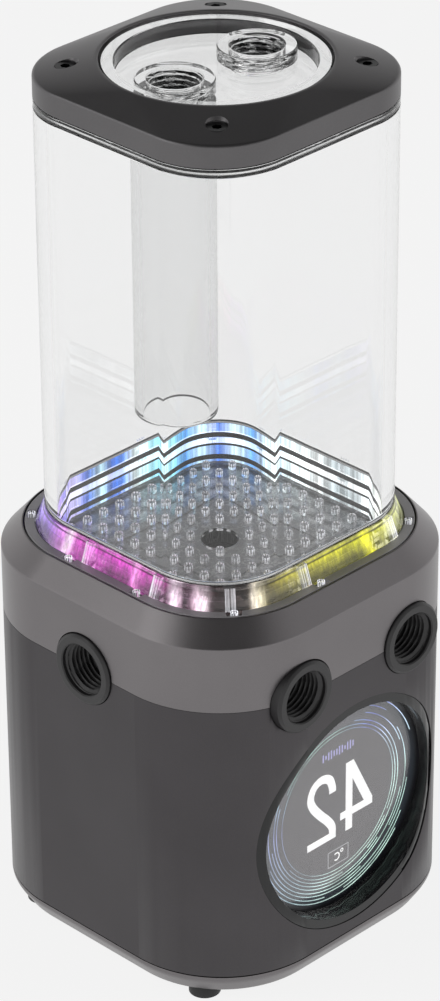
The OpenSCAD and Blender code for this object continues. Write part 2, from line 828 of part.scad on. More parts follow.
module impeller() {
  color("#d8d8d4") difference() {
    union() {
      disc(impeller_r, z_imp0, z_imp_disc);
      disc(rotor_hub_r + 1.5, z_imp_disc - e, z_rotor1);
      for (k = [0 : blades - 1]) rotate([0, 0, k * 360 / blades]) intersection() {
        translate([impeller_r * 0.42, -impeller_r * 0.55, 0])
          tube(impeller_r * 0.66, impeller_r * 0.66 - 1.2, z_imp_disc - e, z_imp1);
        translate([0, 0, z_imp_disc - e]) cube([impeller_r, impeller_r, z_imp1 - z_imp_disc + e]);
        tube(impeller_r, rotor_hub_r + 1, z_imp_disc - e, z_imp1);
      }
    }
    disc(rotor_hub_r, z_imp0 - 1, z_imp1 + 1);
  }
}

module pump_seal() { color("#0c0c0c") tube(seal_r + 1.6, seal_r, z_block0, z_block0 + 1.2); }

module lock_ring() {
  color("#8e9092") difference() {
    union() {
      disc(lock_r, z_flange0, z_block0);
      disc(lock_r, z_flange0 - lock_t, z_flange0 + e);
    }
    disc(flange_r + 0.1, z_flange0, z_block0 + 1);
    disc(motor_r + 0.2, z_flange0 - lock_t - 1, z_flange0 + 1);
    for (a = [45 : 90 : 315]) rotate([0, 0, a]) translate([lock_screw_at, 0, 0])
      disc(screw_r + fit, z_flange0 - lock_t - 1, z_block0 + 1);
  }
}

module lock_screws() {
  color("#2a2a2c") for (a = [45 : 90 : 315]) rotate([0, 0, a]) translate([lock_screw_at, 0, 0]) {
    disc(screw_r, z_flange0 - lock_t, z_block0 + 5.5);
    disc(screw_r * 1.7, z_flange0 - lock_t - 2.2, z_flange0 - lock_t);
  }
}

module pump_lead() { color("#202020") translate([0, lead_y, 0]) disc(lead_r, socket_z, z_motor0 + motor_board_up); }

// Boards
board_holes = [[-board_half + board_hole_in, board_at_y - board_half + board_hole_in],
  [board_half - board_hole_in, board_at_y - board_half + board_hole_in],
  [board_half - board_hole_in, board_back - board_hole_in], [-board_half + board_hole_in, board_back - board_hole_in]];

module control_board() {
  color("#1c4a2c") difference() {
    translate([-board_half, board_at_y - board_half, z_board]) cube([board_w, board_w, board_t]);
    for (c = board_holes) translate(c) disc(screw_r + fit, z_board - 1, z_board + board_t + 1);
  }
}

module control_chips() {
  color("#18181a") for (c = [[-12, 2, 7], [8, -4, 5], [12, 14, 4]])
    translate([c[0] - c[2] / 2, board_at_y + c[1] - c[2] / 2, socket_z]) cube([c[2], c[2], 1.2]);
}

module socket(x, w) {
  translate([x, 0, 0]) difference() {
    translate([-w / 2, board_back - socket_in, socket_z]) cube([w, body_half - 0.2 - board_back + socket_in, socket_h]);
    translate([-w / 2 + 1, body_half - 8, socket_z + 1]) cube([w - 2, 9, socket_h - 2]);
  }
}

module power_socket() { color("#e9e7df") socket(power_x, power_w); }
module data_socket() { color("#18181a") socket(data_x, data_w); }

module board_screws() {
  color("#b0b2b4") for (c = board_holes) translate(c) {
    disc(screw_r, z_plate1 + 1, socket_z);
    disc(screw_r * 1.8, socket_z, socket_z + 1.3);
  }
}

module bottom_plate() {
  color("#6b6566") difference() {
    union() {
      taper(body_half - base_in, body_r - base_in, body_half, body_r, foot_h, foot_h + base_slope);
      slab(body_half, body_r, foot_h + base_slope - e, z_plate1);
      slab(body_half - 1, body_r - 1, z_plate1 - e, z_shell0);
      for (c = board_holes) translate(c) disc(board_post_r, z_plate1, z_board);
    }
    for (c = board_holes) translate(c) disc(screw_r, z_plate1 + 1, z_board + 1);
    for (c = corners(body_half - foot_in_x, body_half - foot_in_y)) translate(c)
      disc(foot_r / 2, foot_h - 1, foot_h + 2);
    for (c = corners(post_x, post_y)) translate(c) {
      disc(screw_r + fit, foot_h - 1, z_shell0 + 1);
      disc(screw_r * 2 + fit, foot_h - 1, foot_h + 2.2);
    }
  }
}

module bottom_screws() {
  color("#141414") for (c = corners(post_x, post_y)) translate(c) mirror([0, 0, 1])
    cap_screw(screw_r * 2, 1.8, screw_r, -foot_h - 0.4, -z_shell0 - 11);
}

module feet() {
  color("#101010") for (c = corners(body_half - foot_in_x, body_half - foot_in_y)) translate(c) {
    disc(foot_r, 0, foot_h);
    disc(foot_r / 2, foot_h - e, foot_h + 2);
  }
}

top_frame();
top_screws();
lid();
lid_seal();
drop_tube();
tank();
light_guide();
guide_base();
guide_gasket();
guide_bands();
guide_pegs();
clamp_ring();
floor_plate();
pin_sheet();
led_board();
leds();
upper_cover();
pump_block();
block_screws();
front_left_port();
front_right_port();
side_port();
port_seals();
body_shell();
display_surround();
display_glass();
display_panel();
display_board();
display_retainer();
display_ribbon();
motor_housing();
motor_board();
stator_core();
stator_coils();
rotor_can();
bearing_shaft();
shaft_cap();
thrust_washer();
rotor_sleeve();
rotor_magnet();
impeller();
pump_seal();
lock_ring();
lock_screws();
pump_lead();
control_board();
control_chips();
power_socket();
data_socket();
board_screws();
bottom_plate();
bottom_screws();
feet();
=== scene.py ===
"""Looks of the coolant pump reservoir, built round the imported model.

Lengths are in millimetres until a mesh is made.
"""
import json
import math

import bmesh
import bpy
from mathutils import Matrix, Vector


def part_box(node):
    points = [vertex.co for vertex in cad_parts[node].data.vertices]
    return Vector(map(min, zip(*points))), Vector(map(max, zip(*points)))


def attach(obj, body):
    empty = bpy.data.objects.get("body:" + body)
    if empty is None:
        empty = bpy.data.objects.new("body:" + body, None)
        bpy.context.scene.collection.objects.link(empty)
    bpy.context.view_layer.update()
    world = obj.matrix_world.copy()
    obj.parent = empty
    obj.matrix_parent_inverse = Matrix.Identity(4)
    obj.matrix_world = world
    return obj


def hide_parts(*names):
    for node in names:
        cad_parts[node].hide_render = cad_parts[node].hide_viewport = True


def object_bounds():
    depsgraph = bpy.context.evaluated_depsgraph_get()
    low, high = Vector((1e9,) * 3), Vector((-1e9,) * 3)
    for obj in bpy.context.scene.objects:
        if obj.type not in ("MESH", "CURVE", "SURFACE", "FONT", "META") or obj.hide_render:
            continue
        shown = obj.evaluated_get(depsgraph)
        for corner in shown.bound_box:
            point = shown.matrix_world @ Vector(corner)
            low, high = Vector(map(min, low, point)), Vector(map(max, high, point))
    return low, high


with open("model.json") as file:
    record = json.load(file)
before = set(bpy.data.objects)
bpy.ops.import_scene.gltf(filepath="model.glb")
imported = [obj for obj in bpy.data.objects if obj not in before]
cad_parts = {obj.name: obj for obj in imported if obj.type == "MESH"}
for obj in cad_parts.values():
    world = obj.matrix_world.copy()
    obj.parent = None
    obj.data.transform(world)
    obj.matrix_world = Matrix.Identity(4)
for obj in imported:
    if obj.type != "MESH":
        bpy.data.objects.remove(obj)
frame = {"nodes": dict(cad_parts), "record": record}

CAD_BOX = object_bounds()
NODES = frame["nodes"]
MM = 0.001


def span(name):
    low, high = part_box(name)
    return low / MM, high / MM


# ---------------------------------------------------------------- camera
AZIMUTH, ELEVATION, ROLL = -45.07, 29.307, -0.422
DISTANCE, LENS = 1.02236, 152.404
TARGET_Z = 0.485 * CAD_BOX[1].z


def make_camera():
    a, e, t = (math.radians(x) for x in (AZIMUTH, ELEVATION, ROLL))
    back = Vector((math.sin(a) * math.cos(e), -math.cos(a) * math.cos(e), math.sin(e)))
    right = (-back).cross(Vector((0, 0, 1))).normalized()
    up = right.cross(-back)
    right, up = right * math.cos(t) + up * math.sin(t), up * math.cos(t) - right * math.sin(t)
    data = bpy.data.cameras.new("camera")
    data.lens, data.sensor_width = LENS, 36
    data.clip_start, data.clip_end = 0.05, 30
    cam = bpy.data.objects.new("camera", data)
    place = back * DISTANCE + right * 0.0001 + up * 0.00106 + Vector((0, 0, TARGET_Z))
    cam.matrix_world = Matrix.Translation(place) @ Matrix((right, up, back)).transposed().to_4x4()
    bpy.context.scene.collection.objects.link(cam)
    bpy.context.scene.camera = cam


# ---------------------------------------------------------------- node helpers
def node(tree, kind, **values):
    n = tree.nodes.new("ShaderNode" + kind)
    for k, v in values.items():
        if k in n.bl_rna.properties:
            setattr(n, k, v)
        else:
            n.inputs[k.replace("_", " ")].default_value = v
    return n


def math_node(tree, operation, a, b=None, c=None, clamp=False):
    m = node(tree, "Math", operation=operation, use_clamp=clamp)
    for i, v in enumerate((a, b, c)):
        if v is None:
            continue
        if isinstance(v, (int, float)):
            m.inputs[i].default_value = v
        else:
            tree.links.new(v, m.inputs[i])
    return m.outputs[0]


def ramp(tree, factor, stops, interpolation="LINEAR"):
    n = node(tree, "ValToRGB")
    r = n.color_ramp
    r.interpolation = interpolation
    while len(r.elements) < len(stops):
        r.elements.new(0.5)
    for element, (place, value) in zip(r.elements, stops):
        element.position = place
        element.color = (*value, 1) if isinstance(value, tuple) else (value, value, value, 1)
    tree.links.new(factor, n.inputs[0])
    return n.outputs[0]


def spread(tree, value, a, b, c=0.0, d=1.0, smooth=False):
    """Value from a..b to c..d, held at the ends."""
    m = node(tree, "MapRange", interpolation_type="SMOOTHSTEP" if smooth else "LINEAR")
    tree.links.new(value, m.inputs[0])
    for i, v in enumerate((a, b, c, d)):
        m.inputs[i + 1].default_value = v
    return m.outputs[0]


def place(tree, scale=(1, 1, 1)):
    """The piece's own coordinates, in metres, stretched by scale."""
    coord = node(tree, "TexCoord")
    m = node(tree, "Mapping")
    m.inputs["Scale"].default_value = scale
    tree.links.new(coord.outputs["Object"], m.inputs[0])
    return m.outputs[0]


def noise(tree, where, scale, detail=2.0, rough=0.5):
    n = node(tree, "TexNoise", Scale=scale, Detail=detail, Roughness=rough)
    tree.links.new(where, n.inputs["Vector"])
    return n.outputs[0]


def bump(tree, height, distance, strength=1.0, normal=None):
    b = node(tree, "Bump", Strength=strength, Distance=distance)
    tree.links.new(height, b.inputs["Height"])
    if normal is not None:
        tree.links.new(normal, b.inputs["Normal"])
    return b.outputs[0]


def ray_mask(tree, *kinds):
    path = node(tree, "LightPath")
    total = path.outputs[kinds[0]]
    for k in kinds[1:]:
        total = math_node(tree, "MAXIMUM", total, path.outputs[k])
    return total


def new_material(name):
    m = bpy.data.materials.new(name)
    m.use_nodes = True
    t = m.node_tree
    t.nodes.clear()
    p = node(t, "BsdfPrincipled")
    out = node(t, "OutputMaterial")
    t.links.new(p.outputs[0], out.inputs[0])
    return m, t, p, out


def set_values(p, **values):
    for k, v in values.items():
        p.inputs[k.replace("_", " ")].default_value = (*v, 1) if isinstance(v, tuple) and len(v) == 3 else v


# ---------------------------------------------------------------- finishes
def blasted(name, dark, light, rough, metallic=1.0, grain=0.00002):
    """Bead-blasted, anodised aluminium: a fine grain with slow changes in tone."""
    m, t, p = new_material(name)[:3]
    where = place(t)
    slow = noise(t, where, 28.0, 3.0)
    fine = noise(t, where, 4200.0, 1.0)
    tone = math_node(t, "MULTIPLY_ADD", fine, 0.35, math_node(t, "MULTIPLY", slow, 0.65))
    t.links.new(ramp(t, tone, [(0.32, dark), (0.68, light)]), p.inputs["Base Color"])
    t.links.new(spread(t, tone, 0.3, 0.7, rough - 0.04, rough + 0.05), p.inputs["Roughness"])
    t.links.new(bump(t, fine, grain), p.inputs["Normal"])
    set_values(p, Metallic=metallic, Specular_IOR_Level=0.5)
    return m


def moulded(name, dark, light, rough, grain=0.00002, scale=2600.0, **more):
    """Moulded plastic or rubber with a fine spark texture."""
    m, t, p = new_material(name)[:3]
    where = place(t)
    slow = noise(t, where, 60.0, 3.0)
    fine = noise(t, where, scale, 2.0)
    t.links.new(ramp(t, slow, [(0.35, dark), (0.65, light)]), p.inputs["Base Color"])
    t.links.new(spread(t, slow, 0.3, 0.7, rough - 0.04, rough + 0.04), p.inputs["Roughness"])
    t.links.new(bump(t, fine, grain), p.inputs["Normal"])
    set_values(p, **more)
    return m


def turned(name, dark, light, rough, axis=(0, 0, 1)):
    """Machined metal with fine tool lines across the axis."""
    m, t, p = new_material(name)[:3]
    stretch = tuple(9000.0 if a else 90.0 for a in axis)
    lines = noise(t, place(t, stretch), 1.0, 2.0)
    slow = noise(t, place(t), 120.0, 2.0)
    tone = math_node(t, "MULTIPLY_ADD", lines, 0.6, math_node(t, "MULTIPLY", slow, 0.4))
    t.links.new(ramp(t, tone, [(0.3, dark), (0.7, light)]), p.inputs["Base Color"])
    t.links.new(spread(t, tone, 0.3, 0.7, rough - 0.06, rough + 0.06), p.inputs["Roughness"])
    t.links.new(bump(t, lines, 0.000006), p.inputs["Normal"])
    set_values(p, Metallic=1.0)
    return m


DENSITY = 100.0     # per metre, the strongest absorption that a colour of the clear pieces can stand for


def clear(name, absorb, ior=1.49, rough=0.0, haze=0.0):
    """Clear plastic that greys with the depth of plastic looked through.

    Absorb is per metre, for red, green and blue.
    """
    m, t, p, out = new_material(name)
    waves = noise(t, place(t, (1.0, 1.0, 0.35)), 55.0, 2.0)
    t.links.new(bump(t, waves, 0.00012, 0.25), p.inputs["Normal"])
    set_values(p, Base_Color=(1.0, 1.0, 1.0), Transmission_Weight=1.0, IOR=ior, Roughness=rough)
    if haze:
        t.links.new(spread(t, waves, 0.35, 0.65, rough, rough + haze), p.inputs["Roughness"])
    absorption(t, out, [1 - a / DENSITY for a in absorb])
    return m


def absorption(t, out, colour):
    v = node(t, "VolumeAbsorption", Density=DENSITY)
    v.inputs["Color"].default_value = (*colour, 1)
    t.links.new(v.outputs[0], out.inputs["Volume"])


def bearing(t, where):
    """Direction round the vertical axis as 0 to 1, from -X by -Y, +X and +Y, and the height."""
    xyz = node(t, "SeparateXYZ")
    t.links.new(where, xyz.inputs[0])
    angle = math_node(t, "ARCTAN2", xyz.outputs[1], xyz.outputs[0])
    return math_node(t, "MULTIPLY_ADD", angle, 0.5 / math.pi, 0.5), xyz.outputs[2]


def at(degrees):
    """A direction in degrees from +X, as a place on a ramp over bearing."""
    return ((degrees + 180.0) % 360.0) / 360.0


# Light of the guide's outer wall by direction: degrees from +X, colour, and how far the light reaches down
OUTSIDE = [
    (-180, (1.0, 0.07, 0.8), 0.25), (-170, (1.0, 0.1, 0.8), 0.3), (-167, (1.0, 0.35, 0.85), 1.0),
    (-164, (0.9, 0.08, 0.7), 0.25), (-153, (0.45, 0.03, 0.3), 0.1), (-151, (1.0, 0.8, 0.95), 1.0),
    (-148, (1.0, 0.7, 0.9), 0.9), (-146, (0.3, 0.03, 0.2), 0.05), (-142.5, (1.0, 0.75, 0.9), 1.0),
    (-139, (1.0, 0.8, 0.9), 0.9), (-137, (0.12, 0.02, 0.04), 0.05), (-127, (0.12, 0.05, 0.02), 0.05),
    (-125, (1.0, 0.9, 0.75), 1.0), (-121.5, (1.0, 0.9, 0.6), 0.9), (-119, (0.4, 0.34, 0.05), 0.1),
    (-100, (0.75, 0.7, 0.04), 0.2), (-74, (0.85, 0.85, 0.02), 0.2), (-71, (0.95, 0.9, 0.01), 1.0),
    (-67, (0.8, 0.8, 0.02), 0.3), (-50, (0.8, 0.85, 0.3), 0.3), (-20, (0.85, 0.9, 0.7), 0.4),
    (20, (0.5, 0.75, 0.9), 0.3), (45, (0.15, 0.35, 0.9), 0.3), (90, (0.02, 0.2, 0.95), 0.4),
    (125, (0.3, 0.25, 0.9), 0.3), (148, (0.4, 0.2, 0.9), 0.2), (156, (0.8, 0.2, 0.85), 0.5),
    (158.5, (1.0, 0.8, 0.95), 1.0), (162, (0.9, 0.1, 0.75), 0.5)]
# The same for its inner walls: degrees from +X, and colour
INSIDE = [
    (-180, (0.9, 0.1, 0.7)), (-100, (0.8, 0.75, 0.1)), (-31, (0.9, 0.97, 1.0)), (-12, (0.55, 0.66, 0.7)),
    (0, (0.95, 1.0, 1.0)), (18, (0.8, 0.97, 1.0)), (29, (0.08, 0.35, 0.9)), (37, (0.75, 0.95, 1.0)),
    (45, (0.06, 0.2, 0.8)), (53, (0.6, 0.85, 1.0)), (61, (0.08, 0.35, 0.9)), (71, (0.35, 0.85, 1.0)),
    (82, (0.85, 1.0, 1.0)), (89, (0.04, 0.25, 1.0)), (96, (0.03, 0.18, 0.9)), (101, (0.6, 0.9, 1.0)),
    (109, (0.06, 0.2, 0.9)), (116, (0.6, 0.55, 0.95)), (128, (0.35, 0.3, 0.95)), (150, (0.6, 0.15, 0.9))]
# Light up the outer wall, from its foot to its lip: the wall's glow, then a dark line of painted shade and the lip's
# bead as a painted highlight
LIP = [(0.0, 0.02), (0.2, 0.08), (0.5, 0.45), (0.72, 1.0), (0.76, 0.8), (0.79, 0.1), (0.84, 0.25), (0.9, 0.9),
       (0.94, 0.3), (1.0, 0.1)]
GUIDE_FOOT, GUIDE_LIP = 107.0 * MM, 112.4 * MM


def glowing(name):
    """Clear light guide, lit from below: bright under its lip and over the coloured lamps, dark lower down, with a
    painted dark line of shade and a painted highlight along the lip's bead.
    """
    m, t, p, out = new_material(name)
    where = place(t)
    turn, height = bearing(t, where)
    # outer faces turn away from the middle, inner ones towards it
    coord = node(t, "TexCoord")
    flat = node(t, "VectorMath", operation="MULTIPLY")
    flat.inputs[1].default_value = (1, 1, 0)
    t.links.new(where, flat.inputs[0])
    unit = node(t, "VectorMath", operation="NORMALIZE")
    t.links.new(flat.outputs[0], unit.inputs[0])
    radial = node(t, "VectorMath", operation="DOT_PRODUCT")
    t.links.new(coord.outputs["Normal"], radial.inputs[0])
    t.links.new(unit.outputs[0], radial.inputs[1])
    outer = spread(t, radial.outputs["Value"], 0.3, 0.5)
    inner = spread(t, radial.outputs["Value"], -0.3, -0.5)
    hue_out = ramp(t, turn, sorted((at(a), c) for a, c, _ in OUTSIDE))
    reach = ramp(t, turn, sorted((at(a), d) for a, _, d in OUTSIDE))
    hue_in = ramp(t, turn, sorted((at(a), c) for a, c in INSIDE))
    hue = node(t, "Mix", data_type="RGBA")
    t.links.new(outer, hue.inputs["Factor"])
    t.links.new(hue_in, hue.inputs[6])
    t.links.new(hue_out, hue.inputs[7])
    streaks = noise(t, place(t, (900.0, 900.0, 60.0)), 0.35, 3.0)
    streak = spread(t, streaks, 0.35, 0.65, 0.5, 1.3)
    fine = spread(t, noise(t, place(t, (2600.0, 2600.0, 90.0)), 0.5, 1.0), 0.4, 0.6, 0.75, 1.2)
    # the lip's painted shade and painted highlight from LIP, held weak round the front corner from -154 to -116 degrees
    corner = ramp(t, turn, [(at(-154), 1.0), (at(-150), 0.1), (at(-120), 0.1), (at(-116), 1.0)])
    top = math_node(t, "MULTIPLY", ramp(t, spread(t, height, GUIDE_FOOT, GUIDE_LIP), LIP), corner)
    low = spread(t, height, 0.1115, 0.109, 0.3, 1.0)
    lamps = math_node(t, "MULTIPLY", reach, reach)
    outside = math_node(t, "MULTIPLY_ADD", lamps, math_node(t, "MULTIPLY", low, 1.3),
                        math_node(t, "MULTIPLY", top, 0.75))
    both = math_node(t, "MULTIPLY_ADD", outer, outside, math_node(t, "MULTIPLY", inner, 1.15))
    geometry = node(t, "NewGeometry")
    facing = math_node(t, "SUBTRACT", 1.0, geometry.outputs["Backfacing"])
    seen = spread(t, ray_mask(t, "Is Camera Ray", "Is Transmission Ray"), 0.0, 1.0, 0.3, 1.0)
    lit_face = math_node(t, "MULTIPLY", both, facing)
    power = math_node(t, "MULTIPLY", lit_face, math_node(t, "MULTIPLY", streak, fine))
    t.links.new(hue.outputs[2], p.inputs["Emission Color"])
    t.links.new(math_node(t, "MULTIPLY", power, seen), p.inputs["Emission Strength"])
    # painted light: the lamps' colour put into the clear plastic's own colour on the outer faces, standing in for the
    # light it carries
    painted_lamp_tint = node(t, "Mix", data_type="RGBA")
    t.links.new(math_node(t, "MULTIPLY", outer, 0.75), painted_lamp_tint.inputs["Factor"])
    painted_lamp_tint.inputs[6].default_value = (1, 1, 1, 1)
    t.links.new(hue_out, painted_lamp_tint.inputs[7])
    t.links.new(painted_lamp_tint.outputs[2], p.inputs["Base Color"])
    set_values(p, Transmission_Weight=1.0, IOR=1.49, Roughness=0.03)
    absorption(t, out, (0.45, 0.42, 0.43))
    return m


def clear_with_painted_bars(name):
    """Clear pins and ribs whose sides carry upright painted highlight bars, light and dark by the direction each face
    turns, standing in for reflections.
    """
    m, t, p = new_material(name)[:3]
    facing = node(t, "SeparateXYZ")
    t.links.new(node(t, "TexCoord").outputs["Normal"], facing.inputs[0])
    angle = math_node(t, "ARCTAN2", facing.outputs[1], facing.outputs[0])
    # painted highlight: bright upright bars set by the direction the face turns
    painted_bars = spread(t, math_node(t, "SINE", math_node(t, "MULTIPLY", angle, 9.0)), -0.1, 0.7, 0.05, 0.62)
    side = spread(t, math_node(t, "ABSOLUTE", facing.outputs[2]), 0.7, 0.5)
    where = node(t, "SeparateXYZ")
    t.links.new(place(t), where.inputs[0])
    # the painted bars vary at random and fade out towards the foot of the pins
    painted_bar_fade = math_node(t, "MULTIPLY", spread(t, noise(t, place(t), 140.0, 2.0), 0.35, 0.65, 0.5, 1.2),
                       spread(t, where.outputs[2], 0.1019, 0.103, 0.05, 1.0))
    power = math_node(t, "MULTIPLY", math_node(t, "MULTIPLY", painted_bars, side), painted_bar_fade)
    t.links.new(power, p.inputs["Emission Strength"])
    set_values(p, Base_Color=(0.93, 0.93, 0.94), Transmission_Weight=1.0, IOR=1.49, Roughness=0.02,
               Emission_Color=(0.93, 0.94, 1.0))
    return m


def floor_with_painted_caustics(name):
    """Metal floor under clear plastic, with fine bright lines painted into its colour for the light that the plastic
    throws on it.
    """
    m, t, p = new_material(name)[:3]
    where = place(t)
    warp = noise(t, where, 90.0, 3.0)
    lines = noise(t, place(t, (1.0, 1.0, 0.2)), 330.0, 3.0, 0.6)
    near = math_node(t, "ABSOLUTE", math_node(t, "SUBTRACT", lines, 0.5))
    # painted light: thin bright lines where the clear plastic would throw light on the floor
    painted_light_lines = spread(t, near, 0.0, 0.03, 1.0, 0.0)
    tone = math_node(t, "MULTIPLY_ADD", painted_light_lines, 0.45, math_node(t, "MULTIPLY", warp, 0.75))
    stops = [(0.25, (0.17, 0.17, 0.18)), (0.5, (0.24, 0.24, 0.25)), (0.85, (0.56, 0.56, 0.58))]
    t.links.new(ramp(t, tone, stops), p.inputs["Base Color"])
    t.links.new(spread(t, warp, 0.3, 0.7, 0.3, 0.42), p.inputs["Roughness"])
    t.links.new(bump(t, lines, 0.00012, 0.6), p.inputs["Normal"])
    set_values(p, Metallic=1.0)
    return m


def from_screen_middle(t, where):
    xyz = node(t, "SeparateXYZ")
    t.links.new(where, xyz.inputs[0])
    middle = (span("display_glass")[0] + span("display_glass")[1]) * 0.5 * MM
    return math_node(t, "SUBTRACT", xyz.outputs[0], middle.x), math_node(t, "SUBTRACT", xyz.outputs[2], middle.z)


def screen(name):
    """Lit screen face: grey, darker and bluer towards the rim."""
    m, t, p = new_material(name)[:3]
    where = place(t)
    side, rise = from_screen_middle(t, where)
    radius = math_node(t, "SQRT", math_node(t, "ADD", math_node(t, "MULTIPLY", side, side),
                                            math_node(t, "MULTIPLY", rise, rise)))
    stops = [(0.0, (0.085, 0.08, 0.086)), (0.35, (0.078, 0.077, 0.088)), (0.8, (0.02, 0.026, 0.034)),
             (1.0, (0.004, 0.004, 0.005))]
    tone = ramp(t, spread(t, radius, 0.018, 0.0285), stops)
    fine = noise(t, where, 5200.0, 1.0)
    mixed = node(t, "Mix", data_type="RGBA", blend_type="MULTIPLY")
    mixed.inputs["Factor"].default_value = 1.0
    t.links.new(tone, mixed.inputs[6])
    t.links.new(ramp(t, fine, [(0.3, 0.96), (0.7, 1.0)]), mixed.inputs[7])
    t.links.new(mixed.outputs[2], p.inputs["Emission Color"])
    set_values(p, Base_Color=(0.01, 0.01, 0.011), Roughness=0.3, Emission_Strength=1.0)
    return m


def lit_lines(name):
    """Lit lines of the screen, coloured by the direction round its middle."""
    m, t, p = new_material(name)[:3]
    where = place(t)
    side, rise = from_screen_middle(t, where)
    turn = math_node(t, "MULTIPLY_ADD", math_node(t, "ARCTAN2", rise, side), 0.5 / math.pi, 0.5)
    hue = ramp(t, turn, [(0.0, (0.24, 0.27, 0.5)), (0.14, (0.3, 0.42, 0.48)), (0.25, (0.6, 0.8, 0.72)),
                         (0.38, (0.55, 0.8, 0.7)), (0.5, (0.6, 0.85, 0.8)), (0.6, (0.55, 0.68, 0.9)),
                         (0.66, (0.12, 0.16, 0.6)), (0.75, (0.35, 0.55, 0.5)), (0.88, (0.22, 0.4, 0.34)),
                         (1.0, (0.24, 0.27, 0.5))])
    t.links.new(hue, p.inputs["Emission Color"])
    t.links.new(spread(t, noise(t, where, 160.0, 2.0), 0.35, 0.65, 0.8, 1.7), p.inputs["Emission Strength"])
    set_values(p, Base_Color=(0.02, 0.02, 0.02), Roughness=0.3)
    return m


def lit(name, colour, strength):
    m, t, p = new_material(name)[:3]
    stops = [(0.3, tuple(0.93 * c for c in colour)), (0.7, colour)]
    t.links.new(ramp(t, noise(t, place(t), 900.0, 1.0), stops), p.inputs["Emission Color"])
    set_values(p, Base_Color=(0.02, 0.02, 0.02), Roughness=0.3, Emission_Strength=strength)
    return m


def circuit(name, dark, light):
    """Solder-masked board with faint tracks."""
    m, t, p = new_material(name)[:3]
    tracks = node(t, "TexBrick", Scale=260.0, Mortar_Size=0.03, Color1=(*dark, 1), Color2=(*dark, 1),
                  Mortar=(*light, 1))
    t.links.new(place(t), tracks.inputs["Vector"])
    t.links.new(tracks.outputs["Color"], p.inputs["Base Color"])
    t.links.new(bump(t, tracks.outputs["Fac"], 0.00003), p.inputs["Normal"])
    set_values(p, Roughness=0.35)
    return m


LOOKS = {
    "anodised_frame": blasted("anodised_frame", (0.122, 0.118, 0.121), (0.155, 0.15, 0.153), 0.42),
    "anodised_dark": blasted("anodised_dark", (0.07, 0.066, 0.069), (0.088, 0.083, 0.087), 0.36),
    "anodised_light": blasted("anodised_light", (0.178, 0.168, 0.172), (0.212, 0.2, 0.204), 0.34),
    "grey_aluminium": blasted("grey_aluminium", (0.3, 0.3, 0.31), (0.36, 0.36, 0.37), 0.32),
    "floor_metal": floor_with_painted_caustics("floor_metal"),
    "black_steel": turned("black_steel", (0.02, 0.02, 0.021), (0.035, 0.035, 0.036), 0.34),
    "bright_steel": turned("bright_steel", (0.55, 0.55, 0.56), (0.68, 0.68, 0.69), 0.26),
    "core_steel": turned("core_steel", (0.32, 0.32, 0.34), (0.42, 0.42, 0.44), 0.38),
    "copper_wire": turned("copper_wire", (0.6, 0.22, 0.09), (0.78, 0.33, 0.15), 0.3),
    "clear_acrylic": clear("clear_acrylic", (8.0, 7.7, 7.7)),
    "clear_silicone": clear("clear_silicone", (30.0, 28.0, 28.0), 1.41, 0.25, 0.1),
    "led_lens": lit("led_lens", (0.9, 0.9, 0.85), 1.2),
    "black_rubber": moulded("black_rubber", (0.012, 0.012, 0.012), (0.02, 0.02, 0.02), 0.6),
    "black_acetal": moulded("black_acetal", (0.02, 0.019, 0.02), (0.03, 0.029, 0.03), 0.42),
    "black_gloss": moulded("black_gloss", (0.004, 0.004, 0.005), (0.007, 0.007, 0.008), 0.1, grain=0.000002),
    "white_plastic": moulded("white_plastic", (0.7, 0.69, 0.65), (0.78, 0.77, 0.73), 0.4),
    "white_board": circuit("white_board", (0.72, 0.72, 0.72), (0.8, 0.8, 0.78)),
    "green_board": circuit("green_board", (0.012, 0.07, 0.03), (0.03, 0.13, 0.06)),
    "amber_film": moulded("amber_film", (0.42, 0.2, 0.04), (0.52, 0.27, 0.06), 0.3),
    "display_glass": clear("display_glass", (4.0, 4.0, 4.0), 1.49),
    "display_face": screen("display_face"),
    "white_ceramic": moulded("white_ceramic", (0.76, 0.75, 0.72), (0.84, 0.83, 0.8), 0.22, grain=0.000004),
    "carbon_bush": moulded("carbon_bush", (0.035, 0.035, 0.037), (0.06, 0.06, 0.062), 0.5),
    "magnet": moulded("magnet", (0.03, 0.03, 0.032), (0.05, 0.05, 0.052), 0.48),
}
LOOKS["lit_white"] = lit("lit_white", (1.0, 1.0, 1.0), 1.0)
LOOKS["lit_dim"] = lit("lit_dim", (0.4, 0.4, 0.42), 1.0)
LOOKS["lit_violet"] = lit("lit_violet", (0.4, 0.38, 0.68), 1.0)
LOOKS["lit_lines"] = lit_lines("lit_lines")
GLOW = glowing("lit_guide")
# clear plastic with painted highlight bars, used for the pins, ribs and pegs
CLEAR_PAINTED_BARS = clear_with_painted_bars("pin_clear_painted_bars")
TUBE = clear("tube_acrylic", (45.0, 44.0, 44.0))
CLOSE_UP = {    # nodes with a look of their own
    "clamp_ring": blasted("ring_grey", (0.36, 0.35, 0.36), (0.46, 0.45, 0.46), 0.45, metallic=0.35),
    "guide_pegs": CLEAR_PAINTED_BARS,
}
SLOTS = {row["node"]: row["material_slot"] for row in frame["record"]["subparts"]}


def dress_nodes():
    for name, slot in SLOTS.items():
        mesh = NODES[name].data
        mesh.materials.clear()
        mesh.materials.append(CLOSE_UP.get(name, LOOKS[slot]))


# ---------------------------------------------------------------- shapes
def piece(name, verts, faces, look, replaces=(), slot=None, body="reservoir"):
    mesh = bpy.data.meshes.new(name)
    mesh.from_pydata([Vector(v) * MM for v in verts], [], faces)
    b = bmesh.new()
    b.from_mesh(mesh)
    bmesh.ops.remove_doubles(b, verts=b.verts, dist=1e-7)
    bmesh.ops.recalc_face_normals(b, faces=b.faces)
    b.to_mesh(mesh)
    b.free()
    o = bpy.data.objects.new(name, mesh)
    bpy.context.scene.collection.objects.link(o)
    if look is not None:
        finish_piece(o, look, replaces, slot, body)
    return o


